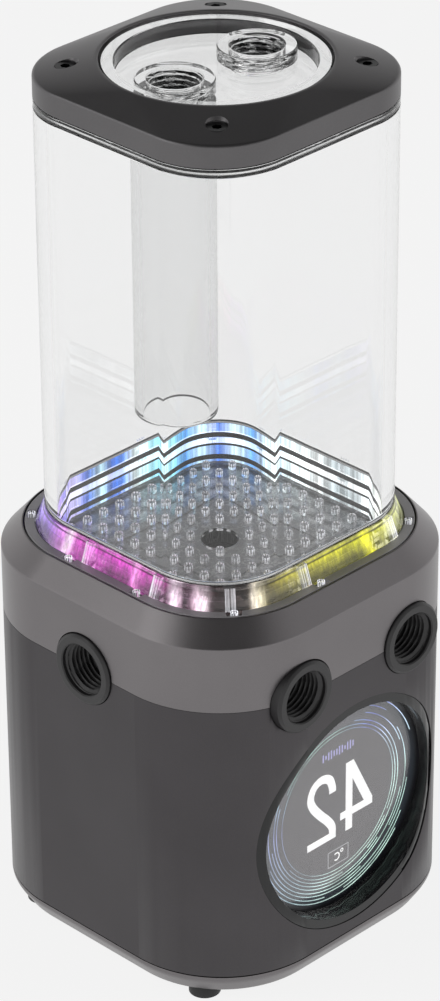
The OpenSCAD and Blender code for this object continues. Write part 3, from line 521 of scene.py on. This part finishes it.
def finish_piece(o, look, replaces=(), slot=None, body="reservoir", crisp=35):
    o.data.materials.clear()
    o.data.materials.append(look)
    o.data.shade_smooth()
    o.data.set_sharp_from_angle(angle=math.radians(crisp))
    o.modifiers.new("flat faces", "WEIGHTED_NORMAL").keep_sharp = True
    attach(o, body)
    if replaces:
        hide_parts(*replaces)
        slot = slot or SLOTS[replaces[0]]
    return o


def soften(profile, closed, steps=4):
    """Rounds each corner of a profile of (half, radius, height, rounding) by its last number."""
    out = []
    count = len(profile)
    inwards = Vector((0.5, 0.5, 1.0))
    for i, (*p, f) in enumerate(profile):
        p = Vector(p)
        if not f:
            out.append(tuple(p))
            continue
        before, after = Vector(profile[i - 1][:3]), Vector(profile[(i + 1) % count][:3])
        if not closed and i == 0:
            before = p * inwards
        if not closed and i == count - 1:
            after = p * inwards
        a, b = before - p, after - p
        cut_a, cut_b = min(f, a.length * 0.45), min(f, b.length * 0.45)
        start, end = p + a.normalized() * cut_a, p + b.normalized() * cut_b
        for k in range(steps + 1):
            s = k / steps
            out.append(tuple(start * (1 - s) ** 2 + p * 2 * s * (1 - s) + end * s ** 2))
    return out


def ring(h, r, z, arc):
    points = []
    for q, (sx, sy) in enumerate(((1, 1), (-1, 1), (-1, -1), (1, -1))):
        for i in range(arc + 1):
            a = (q + i / arc) * math.pi / 2
            points.append((sx * (h - r) + r * math.cos(a), sy * (h - r) + r * math.sin(a), z))
    return points


def loft(name, profile, look=None, arc=18, closed=True, **more):
    """A wall round the vertical axis whose section is the profile.

    With closed off, the first and last rings are capped.
    """
    rows = [ring(*p, arc) for p in soften(profile, closed)]
    n = len(rows[0])
    verts = [p for row in rows for p in row]
    faces = []
    last = len(rows) if closed else len(rows) - 1
    for k in range(last):
        a, b = k * n, ((k + 1) % len(rows)) * n
        for i in range(n):
            j = (i + 1) % n
            faces.append((a + i, a + j, b + j, b + i))
    if not closed:
        faces.append(tuple(range(n)))
        faces.append(tuple(range(len(verts) - n, len(verts))))
    return piece(name, verts, faces, look, **more)


def spin(name, profile, look=None, at=(0, 0), arc=16, closed=True, **more):
    """A round body on a vertical axis at a point: profile holds (radius, height, rounding)."""
    o = loft(name, [(r, r, z, f) for r, z, f in profile], None, arc, closed)
    o.data.transform(Matrix.Translation((at[0] * MM, at[1] * MM, 0)))
    if look is not None:
        finish_piece(o, look, **more)
    return o


def helix(name, core, crest, pitch, low, high, at=(0, 0), around=72, rows_per_turn=10):
    """A screw, used to cut a thread: its flanks fade out at the far end."""
    count = int((high - low) / pitch * rows_per_turn)
    verts, faces = [], []
    for k in range(count + 1):
        z = low + (high - low) * k / count
        fade = min(1.0, max(0.0, (z - low) / (1.2 * pitch)))
        for i in range(around):
            phase = ((z - low) / pitch - i / around) % 1.0
            flank = min(1.0, max(0.0, (0.5 - abs(phase - 0.5) - 0.06) / 0.36))
            r = core + (crest - core) * flank * fade
            a = 2 * math.pi * i / around
            verts.append((at[0] + r * math.cos(a), at[1] + r * math.sin(a), z))
    for k in range(count):
        for i in range(around):
            j = (i + 1) % around
            faces.append((k * around + i, k * around + j, (k + 1) * around + j, (k + 1) * around + i))
    faces.append(tuple(range(around))[::-1])
    faces.append(tuple(range(count * around, (count + 1) * around)))
    return piece(name, verts, faces, None)


def combine(o, others, operation):
    """Adds the others to the piece, or cuts them from it."""
    for other in others:
        m = o.modifiers.new("step", "BOOLEAN")
        m.operation, m.object, m.solver = operation, other, "MANIFOLD"
    made = bpy.data.meshes.new_from_object(o.evaluated_get(bpy.context.evaluated_depsgraph_get()))
    o.modifiers.clear()
    o.data = made
    for other in others:
        bpy.data.objects.remove(other)
    return o


def cut(o, *tools):
    return combine(o, tools, "DIFFERENCE")


def fuse(o, *parts):
    return combine(o, parts, "UNION")


def stretch(name, sections, look, **more):
    """A solid through a row of sections with as many corners each."""
    verts = [p for s in sections for p in s]
    n = len(sections[0])
    faces = [tuple(range(n)), tuple(range(len(verts) - n, len(verts)))]
    for k in range(len(sections) - 1):
        for i in range(n):
            j = (i + 1) % n
            faces.append((n * k + i, n * k + j, n * k + n + j, n * k + n + i))
    return piece(name, verts, faces, look, **more)


def corners(x, y):
    return [(sx * x, sy * y) for sx in (-1, 1) for sy in (-1, 1)]


def merge(name, parts, look, **more):
    """Joins several meshes in one piece."""
    b = bmesh.new()
    for p in parts:
        b.from_mesh(p.data)
    mesh = bpy.data.meshes.new(name)
    b.to_mesh(mesh)
    b.free()
    for p in parts:
        bpy.data.objects.remove(p)
    o = bpy.data.objects.new(name, mesh)
    bpy.context.scene.collection.objects.link(o)
    return finish_piece(o, look, **more)


def ease(name, width=0.12):
    """Rounds the edges of a CAD node with modifiers, which leave its own mesh alone."""
    o = NODES[name]
    weld = o.modifiers.new("weld", "WELD")
    weld.merge_threshold = 2e-6
    b = o.modifiers.new("edges", "BEVEL")
    b.width, b.segments, b.limit_method, b.angle_limit = width * MM, 2, "ANGLE", math.radians(40)
    b.harden_normals = True
    b.use_clamp_overlap = True


# ---------------------------------------------------------------- pieces
GAP = 0.04      # keeps clear faces that touch from sharing one plane
PORT_MINOR, PORT_MAJOR, PORT_PITCH = 5.72, 6.58, 1.337
TANK_R, TANK_IN_R, TANK_WALL = 19.7, 16.7, 3
TANK_IN = 32.6          # half of the tank's inner width
TANK_CORNER = 15.9      # middle of the tank's corner arcs
LID_PORT_X = 13.3
SCREW_PLACE, SCREW_R = 24.35, 1.3
SHOULDER_R, BODY_R = 25.6, 29


def make_tank():
    low, high = span("tank")
    h = high.x
    inner = h - TANK_WALL
    loft("tank_wall", [(h, TANK_R, low.z + GAP, 0.9), (h, TANK_R, high.z - GAP, 0.35),
                       (inner, TANK_IN_R, high.z - GAP, 0.3), (inner, TANK_IN_R, low.z + GAP, 0.3)],
         LOOKS["clear_acrylic"], arc=24, replaces=["tank"])


def make_drop_tube():
    low, high = span("drop_tube")
    middle = (low + high) / 2
    r = high.x - middle.x
    spin("long_tube", [(r, low.z, 0.8), (r, high.z - GAP, 0), (r - 2, high.z - GAP, 0), (r - 2, low.z, 0.4)],
         TUBE, at=(middle.x, middle.y), arc=20, replaces=["drop_tube"])


def make_lid():
    high = span("lid")[1]
    z0, z1 = span("tank")[1].z, span("top_frame")[0].z - GAP
    z_face, z_collar = 223.4, 226.6
    boss_r, rim_in = 26.6, 23.4
    collar_r, stub_r = 9.35, 7.3
    spigot_h = 0.8
    body = loft("lid_clear", [(high.x, TANK_R, z0, 0.3), (high.x, TANK_R, z1, 0.3)], closed=False, arc=24)
    boss = spin("boss", [(boss_r, z1 - 1, 0), (boss_r, high.z, 0.6), (rim_in, high.z, 0.6), (rim_in, z_face, 0.3),
                         (0, z_face, 0), (0, z1 - 1, 0)], arc=24)
    spigot = loft("spigot", [(32.5, 16.6, z0 - spigot_h, 0.1), (32.5, 16.6, z0 + 0.5, 0), (30.5, 14.6, z0 + 0.5, 0),
                             (30.5, 14.6, z0 - spigot_h, 0.1)], arc=18)
    stub = spin("stub", [(stub_r, z0 - 4, 0.3), (stub_r, z0 + 0.5, 0)], at=(-LID_PORT_X, 0), closed=False)
    collars = [spin("collar", [(collar_r, z_face - 0.5, 0), (collar_r, z_collar, 0.55)], at=(x, 0), closed=False,
                    arc=18) for x in (-LID_PORT_X, LID_PORT_X)]
    fuse(body, boss, spigot, stub, *collars)
    tools = []
    for x, bottom in ((-LID_PORT_X, z0 - 5), (LID_PORT_X, z0 - 1)):
        tools.append(helix("thread", PORT_MINOR, PORT_MAJOR, PORT_PITCH, bottom, z_collar - 0.5, at=(x, 0)))
        tools.append(spin("mouth", [(5.9, z_collar - 1.3, 0), (6.64, z_collar - 0.6, 0), (6.75, z_collar + 1, 0)],
                          at=(x, 0), closed=False, arc=18))
    for c in corners(SCREW_PLACE, SCREW_PLACE):
        tools.append(spin("hole", [(SCREW_R, z0 + 0.6, 0), (SCREW_R, z1 + 1, 0)], at=c, closed=False, arc=6))
    cut(body, *tools)
    finish_piece(body, LOOKS["clear_acrylic"], ["lid"], crisp=40)


def make_top_frame():
    low, high = span("top_frame")
    z_edge, opening_r, rim = 224.3, 27, 27.8
    z_seat, seat_r = 223.75, 2.55
    o = loft("frame_top", [(high.x, TANK_R, low.z, 0.15), (high.x, TANK_R, z_edge, 0.7), (rim, rim, high.z, 0.25),
                           (opening_r, opening_r, high.z, 0.35), (opening_r, opening_r, low.z, 0.2)], arc=32)
    tools = []
    for c in corners(SCREW_PLACE, SCREW_PLACE):
        tools.append(spin("seat", [(seat_r, z_seat, 0), (seat_r, 226.0, 0), (3.2, 226.9, 0)], at=c, closed=False,
                          arc=10))
        tools.append(spin("shank", [(1.35, low.z - 1, 0), (1.35, 224.5, 0)], at=c, closed=False, arc=5))
    cut(o, *tools)
    finish_piece(o, LOOKS["anodised_frame"], ["top_frame"])


RIBS = (170, 203, 228, 256, 300)
FLUTE_STEPS = 16


def outline_place(h, r, degrees):
    """Point on the rounded square in a direction, and the direction that the outline faces there."""
    d = Vector((math.cos(math.radians(degrees)), math.sin(math.radians(degrees))))
    t = h / max(abs(d.x), abs(d.y))
    p = d * t
    c = h - r
    if min(abs(p.x), abs(p.y)) > c:
        centre = Vector((math.copysign(c, d.x), math.copysign(c, d.y)))
        k = d.dot(centre)
        p = d * (k + math.sqrt(k * k - centre.length_squared + r * r))
    q = Vector((math.copysign(max(abs(p.x) - c, 0), p.x), math.copysign(max(abs(p.y) - c, 0), p.y)))
    return p, q.normalized()


def band_groove(low, high):
    """Groove of a dark band in the inner wall, from its lower to its upper edge, as corners of a profile."""
    deep = 33.4 + GAP
    return [(TANK_IN, TANK_IN_R, high, 0), (deep, deep - TANK_CORNER, high, 0), (deep, deep - TANK_CORNER, low, 0),
            (TANK_IN, TANK_IN_R, low, 0)]


def rib_section(p, out, depth, z):
    """Section of a rib at a height: three shallow flutes in front, flat behind."""
    half, flutes, flute_deep, back = 1.2, 3, 0.28, 2.6
    side = Vector((-out.y, out.x))
    near, far = p + out * depth, p - out * back
    front = []
    for k in range(FLUTE_STEPS + 1):
        across = half - 2 * half * k / FLUTE_STEPS
        dip = flute_deep * (1 - abs(math.cos(math.pi * k * flutes / FLUTE_STEPS)))
        front.append(near + side * across - out * dip)
    return [(*q, z) for q in front] + [(*(far - side * half), z), (*(far + side * half), z)]


def make_guide():
    low, high = span("light_guide")
    bands = span("guide_bands")
    band_h = 1.3
    z0, z1 = low.z, high.z
    loft("guide_wall", [(37.9, 22.0, z0 + GAP, 0.3), (35.6, TANK_R, z1, 0.5), (TANK_IN, TANK_IN_R, z1, 0.3)]
         + band_groove(bands[1].z - band_h - GAP, bands[1].z + GAP) + [(TANK_IN, TANK_IN_R, z0 + GAP, 0.2)],
         GLOW, arc=24, replaces=["light_guide"])
    ribs = []
    for degrees in [a for r in RIBS for a in (r, r - 180)]:
        p, out = outline_place(37.9, 22.0, degrees)
        ribs.append(stretch("rib", [rib_section(p, out, depth, z) for depth, z in
                                    ((0.1, z0 + GAP), (0.1, 107.1), (0.8, 107.3), (-1.0, z1))], None))
    merge("guide_ribs", ribs, CLEAR_PAINTED_BARS, slot="clear_acrylic")
    z2, z3 = span("guide_base")[0].z, span("guide_base")[1].z
    foot, foot_r = 36.5 - GAP, 20.6
    flange, flange_r, z_flange0, z_flange1 = 40.4, 24.65, 102.6, 105 - GAP
    loft("guide_foot", [(foot, foot_r, z2 + GAP, 0.2), (foot, foot_r, z_flange0, 0), (flange, flange_r, z_flange0, 0.2),
                        (flange, flange_r, z_flange1, 0.2), (foot, foot_r, z_flange1, 0), (foot, foot_r, z3 - GAP, 0.2),
                        (TANK_IN, TANK_IN_R, z3 - GAP, 0.2)]
         + band_groove(bands[0].z - GAP, bands[0].z + band_h + GAP) + [(TANK_IN, TANK_IN_R, z2 + GAP, 0.2)],
         GLOW, arc=24, replaces=["guide_base"])


def make_floor():
    low, high = span("pin_sheet")
    top = low.z + 0.8
    riser_x = -24.6
    sheet = loft("sheet_clear", [(high.x, 16.5, low.z + GAP, 0.1), (high.x, 16.5, top, 0.2)], closed=False, arc=18)
    cut(sheet, spin("inlet", [(5, low.z - 1, 0), (5, top + 1, 0)], closed=False),
        spin("return", [(3, low.z - 1, 0), (3, top + 1, 0)], at=(riser_x, 0), closed=False, arc=8))
    finish_piece(sheet, LOOKS["clear_acrylic"], ["pin_sheet"])
    pins = []
    pitch, count = 5.5, 5
    edge_room, inlet_room, riser_room = 2.35, 7.15, 5.15
    z_tip = high.z - 0.25
    for i in range(-count, count + 1):
        for j in range(-count, count + 1):
            x, y = i * pitch, j * pitch
            room = TANK_IN_R - math.hypot(max(abs(x) - TANK_CORNER, 0), max(abs(y) - TANK_CORNER, 0))
            if room > edge_room and math.hypot(x, y) > inlet_room and math.hypot(x - riser_x, y) > riser_room:
                pins.append(spin("pin", [(0, top - 0.1, 0), (1.15, top - 0.1, 0), (1.1, high.z, 0.3),
                                         (0.35, z_tip, 0.2), (0, z_tip, 0)], at=(x, y), arc=4, closed=False))
    merge("pins_clear", pins, CLEAR_PAINTED_BARS, slot=SLOTS["pin_sheet"], crisp=50)


def make_cover():
    low, high = span("upper_cover")
    h, z_band, z_inside = high.x, 101.4, 98
    o = loft("cover_shoulder", [(h, BODY_R, low.z, 0.22), (h, BODY_R, z_band, 0.35), (41.35, SHOULDER_R, high.z, 0.2),
                                (41.05, 25.3, high.z, 0.05), (41.05, 25.3, z_inside, 0), (43, 26, z_inside, 0),
                                (43, 26, low.z, 0.1)], arc=32)
    cut(o, *port_cutters())
    finish_piece(o, LOOKS["anodised_light"], ["upper_cover"])


def port_places():
    """The three ports: name, and the transform that takes +Z on the axis to outwards from the base."""
    z = (span("front_left_port")[0].z + span("front_left_port")[1].z) / 2
    x = 18.55
    out_y = Matrix.Rotation(math.radians(90), 4, "X")
    out_x = Matrix.Rotation(math.radians(-90), 4, "Z") @ out_y
    return [("front_left_port", Matrix.Translation((-x * MM, 0, z * MM)) @ out_y),
            ("front_right_port", Matrix.Translation((x * MM, 0, z * MM)) @ out_y),
            ("side_port", Matrix.Translation((0, 0, z * MM)) @ out_x)]


def port_cutters():
    cutters = []
    for place_of_port in port_places():
        c = spin("cutter", [(9.35, 39, 0), (9.35, 46 - 0.2, 0), (9.65, 46.3, 0), (9.65, 48, 0)], closed=False,
                 arc=16)
        c.data.transform(place_of_port[1])
        cutters.append(c)
    return cutters


def make_ports():
    for name, where in port_places():
        face, back, end = 47.0, 40.3, 31.1
        o = spin(name + "_body", [(8.55, face, 0.15), (9.2, face - 0.6, 0.2), (9.2, back, 0.1), (7.6, back, 0),
                                  (7.6, end, 0.2), (5.2, end, 0), (5.2, face, 0)], arc=20)
        cut(o, helix("thread", PORT_MINOR, PORT_MAJOR, PORT_PITCH, end + 2.0, face - 0.8),
            spin("bore", [(PORT_MINOR, end - 1, 0), (PORT_MINOR, face - 2, 0)], closed=False),
            spin("mouth", [(PORT_MINOR - 0.1, face - 2.1, 0), (6.64, face - 1.2, 0), (6.64, face - 0.3, 0),
                           (7.0, face + 0.1, 0), (7.0, face + 1, 0)], closed=False, arc=20))
        o.data.transform(where)
        finish_piece(o, LOOKS["black_acetal"], [name])


def make_plate():
    high = span("bottom_plate")[1]
    z0 = span("feet")[1].z - 2
    h, slope_in, slope_h, z_top = high.x, 3, 4.6, 8.8
    o = loft("plate_base", [(h - slope_in, BODY_R - slope_in, z0, 0.8), (h, BODY_R, z0 + slope_h, 1.6),
                            (h, BODY_R, z_top, 0.2), (h - 1, BODY_R - 1, z_top, 0),
                            (h - 1, BODY_R - 1, z_top + 0.3, 0)], closed=False, arc=32)
    tools = []
    for c in corners(38.8, 20):
        tools.append(spin("hole", [(2.6, z0 - 1, 0), (2.6, z0 + 2.2, 0)], at=c, closed=False, arc=8))
        tools.append(spin("shank", [(1.35, z0 + 2, 0), (1.35, 12, 0)], at=c, closed=False, arc=5))
    cut(o, *tools)
    posts = [spin("post", [(3, z_top, 0), (3, high.z, 0.2)], at=c, closed=False, arc=6) for c in board_posts()]
    finish_piece(o, LOOKS["anodised_light"], ["bottom_plate"])
    merge("plate_posts", posts, LOOKS["anodised_light"], slot=SLOTS["bottom_plate"])


def board_posts():
    low, high = span("board_screws")
    r = 2.25
    return [(x, y) for x in (low.x + r, high.x - r) for y in (low.y + r, high.y - r)]


# ---------------------------------------------------------------- the display
FLIP = -1       # the screen reads backwards, as the object was seen; 1 turns it round


def screen_point(u, v, y):
    low, high = span("display_glass")
    return (FLIP * u + (low.x + high.x) / 2, y, v + (low.z + high.z) / 2)


def ribbon(points, width, y, thick=0.05, closed=False):
    """A flat lit line along points of the screen."""
    n = len(points)
    sections = []
    for i, p in enumerate(points):
        a = Vector(points[(i - 1) % n] if closed or i else points[0])
        b = Vector(points[(i + 1) % n] if closed or i < n - 1 else points[-1])
        d = (b - a).normalized()
        s = Vector((-d.y, d.x)) * width / 2
        left, right = Vector(p) + s, Vector(p) - s
        sections.append([screen_point(*left, y), screen_point(*right, y), screen_point(*right, y + thick),
                         screen_point(*left, y + thick)])
    if closed:
        sections.append(sections[0])
    return stretch("line", sections, None)


def arc_points(r, start, end, centre=(0, 0)):
    steps = max(6, int(abs(end - start) / 3))
    turns = [math.radians(start + (end - start) * k / steps) for k in range(steps + 1)]
    return [(centre[0] + r * math.cos(a), centre[1] + r * math.sin(a)) for a in turns]


def flat_shape(points, y, thick=0.05):
    front = [screen_point(u, v, y) for u, v in points]
    back = [screen_point(u, v, y + thick) for u, v in points]
    n = len(points)
    faces = [tuple(range(n)), tuple(range(n, 2 * n))[::-1]]
    faces += [(i, (i + 1) % n, n + (i + 1) % n, n + i) for i in range(n)]
    return piece("plate", front + back, faces, None)


def smooth_path(points, steps=8):
    out = []
    for i in range(len(points) - 1):
        p0, p1 = Vector(points[max(i - 1, 0)]), Vector(points[i])
        p2, p3 = Vector(points[i + 1]), Vector(points[min(i + 2, len(points) - 1)])
        for k in range(steps):
            s = k / steps
            out.append(0.5 * ((2 * p1) + (p2 - p0) * s + (2 * p0 - 5 * p1 + 4 * p2 - p3) * s * s
                              + (3 * p1 - p0 - 3 * p2 + p3) * s ** 3))
    out.append(Vector(points[-1]))
    return out


def make_display():
    low, high = span("display_glass")
    middle = (low + high) / 2
    r = high.x - middle.x
    glass = spin("glass_face", [(r, 0, 0.1), (r, 0.7, 0.15)], closed=False, arc=24)
    glass.data.transform(Matrix.Translation((middle.x * MM, (low.y + 0.7) * MM, middle.z * MM))
                         @ Matrix.Rotation(math.radians(90), 4, "X"))
    finish_piece(glass, LOOKS["display_glass"], ["display_glass"])
    y = high.y - 0.12
    white = LOOKS["lit_white"]
    four = [flat_shape([(-5.5, 9.8), (-2.8, 9.8), (-2.8, -9.8), (-5.15, -9.8), (-5.15, 4.6)], y),
            flat_shape([(-5.5, 9.8), (-5.15, 4.6), (-9.3, -3.8), (-12.3, -3.9)], y - 0.002),
            flat_shape([(-12.3, -3.8), (-0.9, -3.8), (-0.9, -5.9), (-12.3, -5.9)], y - 0.004)]
    path = [(1.9, 3.6), (2.0, 5.2), (3.1, 7.8), (5.75, 8.85), (8.4, 7.8), (9.6, 5.1), (8.9, 2.5), (6.6, -0.6),
            (3.6, -3.9), (2.0, -6.4), (1.9, -8.9)]
    two = [ribbon(smooth_path(path), 2.35, y),
           flat_shape([(0.72, -7.85), (10.7, -7.85), (10.7, -9.8), (0.72, -9.8)], y - 0.002)]
    merge("screen_number", four + two, white, slot="display_face")
    unit = [ribbon(arc_points(0.42, 0, 360, (-1.55, -14.75)), 0.28, y),
            ribbon(arc_points(1.0, 50, 310, (0.35, -15.8)), 0.36, y)]
    merge("screen_unit", unit, white, slot="display_face")
    frame_line = [(-3.8, -13.6), (3.3, -13.6), (3.3, -18.0), (-3.8, -18.0)]
    box = [ribbon([a, b], 0.24, y) for a, b in zip(frame_line, frame_line[1:] + frame_line[:1])]
    merge("screen_box", box, LOOKS["lit_dim"], slot="display_face")
    gauge = []
    for k in range(12):
        u = -5.2 + k * 0.95
        tall = 1.0 + 1.5 * abs(math.sin(0.9 * k + 0.4))
        gauge.append(ribbon([(u, 14.7 - tall / 2), (u, 14.7 + tall / 2)], 0.42, y))
    merge("screen_gauge", gauge, LOOKS["lit_violet"], slot="display_face")
    # radius, from and to in degrees, and width
    arcs = [(19.6, 0, 360, 0.12), (20.5, -30, 150, 0.2), (20.6, 215, 325, 0.16), (21.5, -60, 75, 0.2),
            (21.5, 160, 275, 0.22), (22.4, 130, 310, 0.24), (22.4, -150, -120, 0.2), (23.3, 190, 345, 0.24),
            (23.4, 20, 66, 0.22), (24.3, 120, 290, 0.26), (24.2, -40, 30, 0.22), (25.2, 200, 350, 0.26),
            (25.3, 48, 100, 0.24), (26.2, 110, 260, 0.28), (26.3, 275, 330, 0.26), (26.2, 60, 95, 0.24),
            (27.2, 20, 320, 0.3)]
    lines = [ribbon(arc_points(radius, 180 - b, 180 - a), 0.75 * w, y) for radius, a, b, w in arcs]
    merge("screen_arcs", lines, LOOKS["lit_lines"], slot="display_face")


# ---------------------------------------------------------------- stage and light
def make_world():
    world = bpy.data.worlds.new("studio")
    world.use_nodes = True
    bpy.context.scene.world = world
    t = world.node_tree
    t.nodes.clear()
    out = node(t, "OutputWorld")
    sky = node(t, "Background")
    coord = node(t, "TexCoord")
    split = node(t, "SeparateXYZ")
    t.links.new(coord.outputs["Generated"], split.inputs[0])
    stops = [(0.0, 1.0), (0.25, 0.95), (0.5, 0.4), (0.72, 0.13), (1.0, 0.09)]      # white walls under a dark ceiling
    t.links.new(ramp(t, split.outputs["Z"], stops), sky.inputs[0])
    white = node(t, "Background", Color=(1, 1, 1, 1), Strength=1.0)
    mix = node(t, "MixShader")
    shiny = math_node(t, "MULTIPLY", ray_mask(t, "Is Glossy Ray", "Is Transmission Ray"),
                      spread(t, split.outputs["Z"], 0.2, 0.3, 1.0, 0.0))
    t.links.new(math_node(t, "MAXIMUM", ray_mask(t, "Is Camera Ray"), shiny), mix.inputs[0])
    t.links.new(sky.outputs[0], mix.inputs[1])
    t.links.new(white.outputs[0], mix.inputs[2])
    t.links.new(mix.outputs[0], out.inputs[0])


def make_stage():
    bpy.ops.mesh.primitive_plane_add(size=8, location=(0, 0, 0))
    floor = bpy.context.object
    floor.name = "studio_floor"
    m = bpy.data.materials.new("studio_floor")
    m.use_nodes = True
    t = m.node_tree
    t.nodes.clear()
    d = node(t, "BsdfDiffuse", Color=(0.86, 0.86, 0.86, 1))
    e = node(t, "Emission", Color=(1, 1, 1, 1), Strength=1.0)
    mix = node(t, "MixShader")
    share = math_node(t, "MULTIPLY", ray_mask(t, "Is Camera Ray", "Is Transmission Ray", "Is Glossy Ray"), 0.85)
    t.links.new(share, mix.inputs[0])
    t.links.new(d.outputs[0], mix.inputs[1])
    t.links.new(e.outputs[0], mix.inputs[2])
    out = node(t, "OutputMaterial")
    t.links.new(mix.outputs[0], out.inputs[0])
    floor.data.materials.append(m)


def area(name, corner, power):
    aim, size = Vector((0, 0, 0.08)), 0.9
    data = bpy.data.lights.new(name, "AREA")
    data.shape, data.size, data.energy = "SQUARE", size, power
    lamp = bpy.data.objects.new(name, data)
    lamp.location = corner
    lamp.rotation_euler = (aim - Vector(corner)).to_track_quat("-Z", "Y").to_euler()
    bpy.context.scene.collection.objects.link(lamp)


make_camera()
dress_nodes()
make_tank()
make_drop_tube()
make_lid()
make_top_frame()
make_guide()
make_floor()
make_cover()
make_ports()
make_plate()
make_display()
for eased in ("top_screws", "body_shell", "display_surround", "clamp_ring", "guide_pegs", "feet", "bottom_screws",
              "power_socket", "data_socket"):
    ease(eased)
make_world()
make_stage()
area("left_softbox", (-1.1, 0.5, 0.9), 3.5)
area("right_softbox", (0.5, -1.1, 0.9), 1)

scene = bpy.context.scene
scene.view_settings.view_transform = "Standard"
scene.cycles.max_bounces = 24
scene.cycles.transmission_bounces = 24
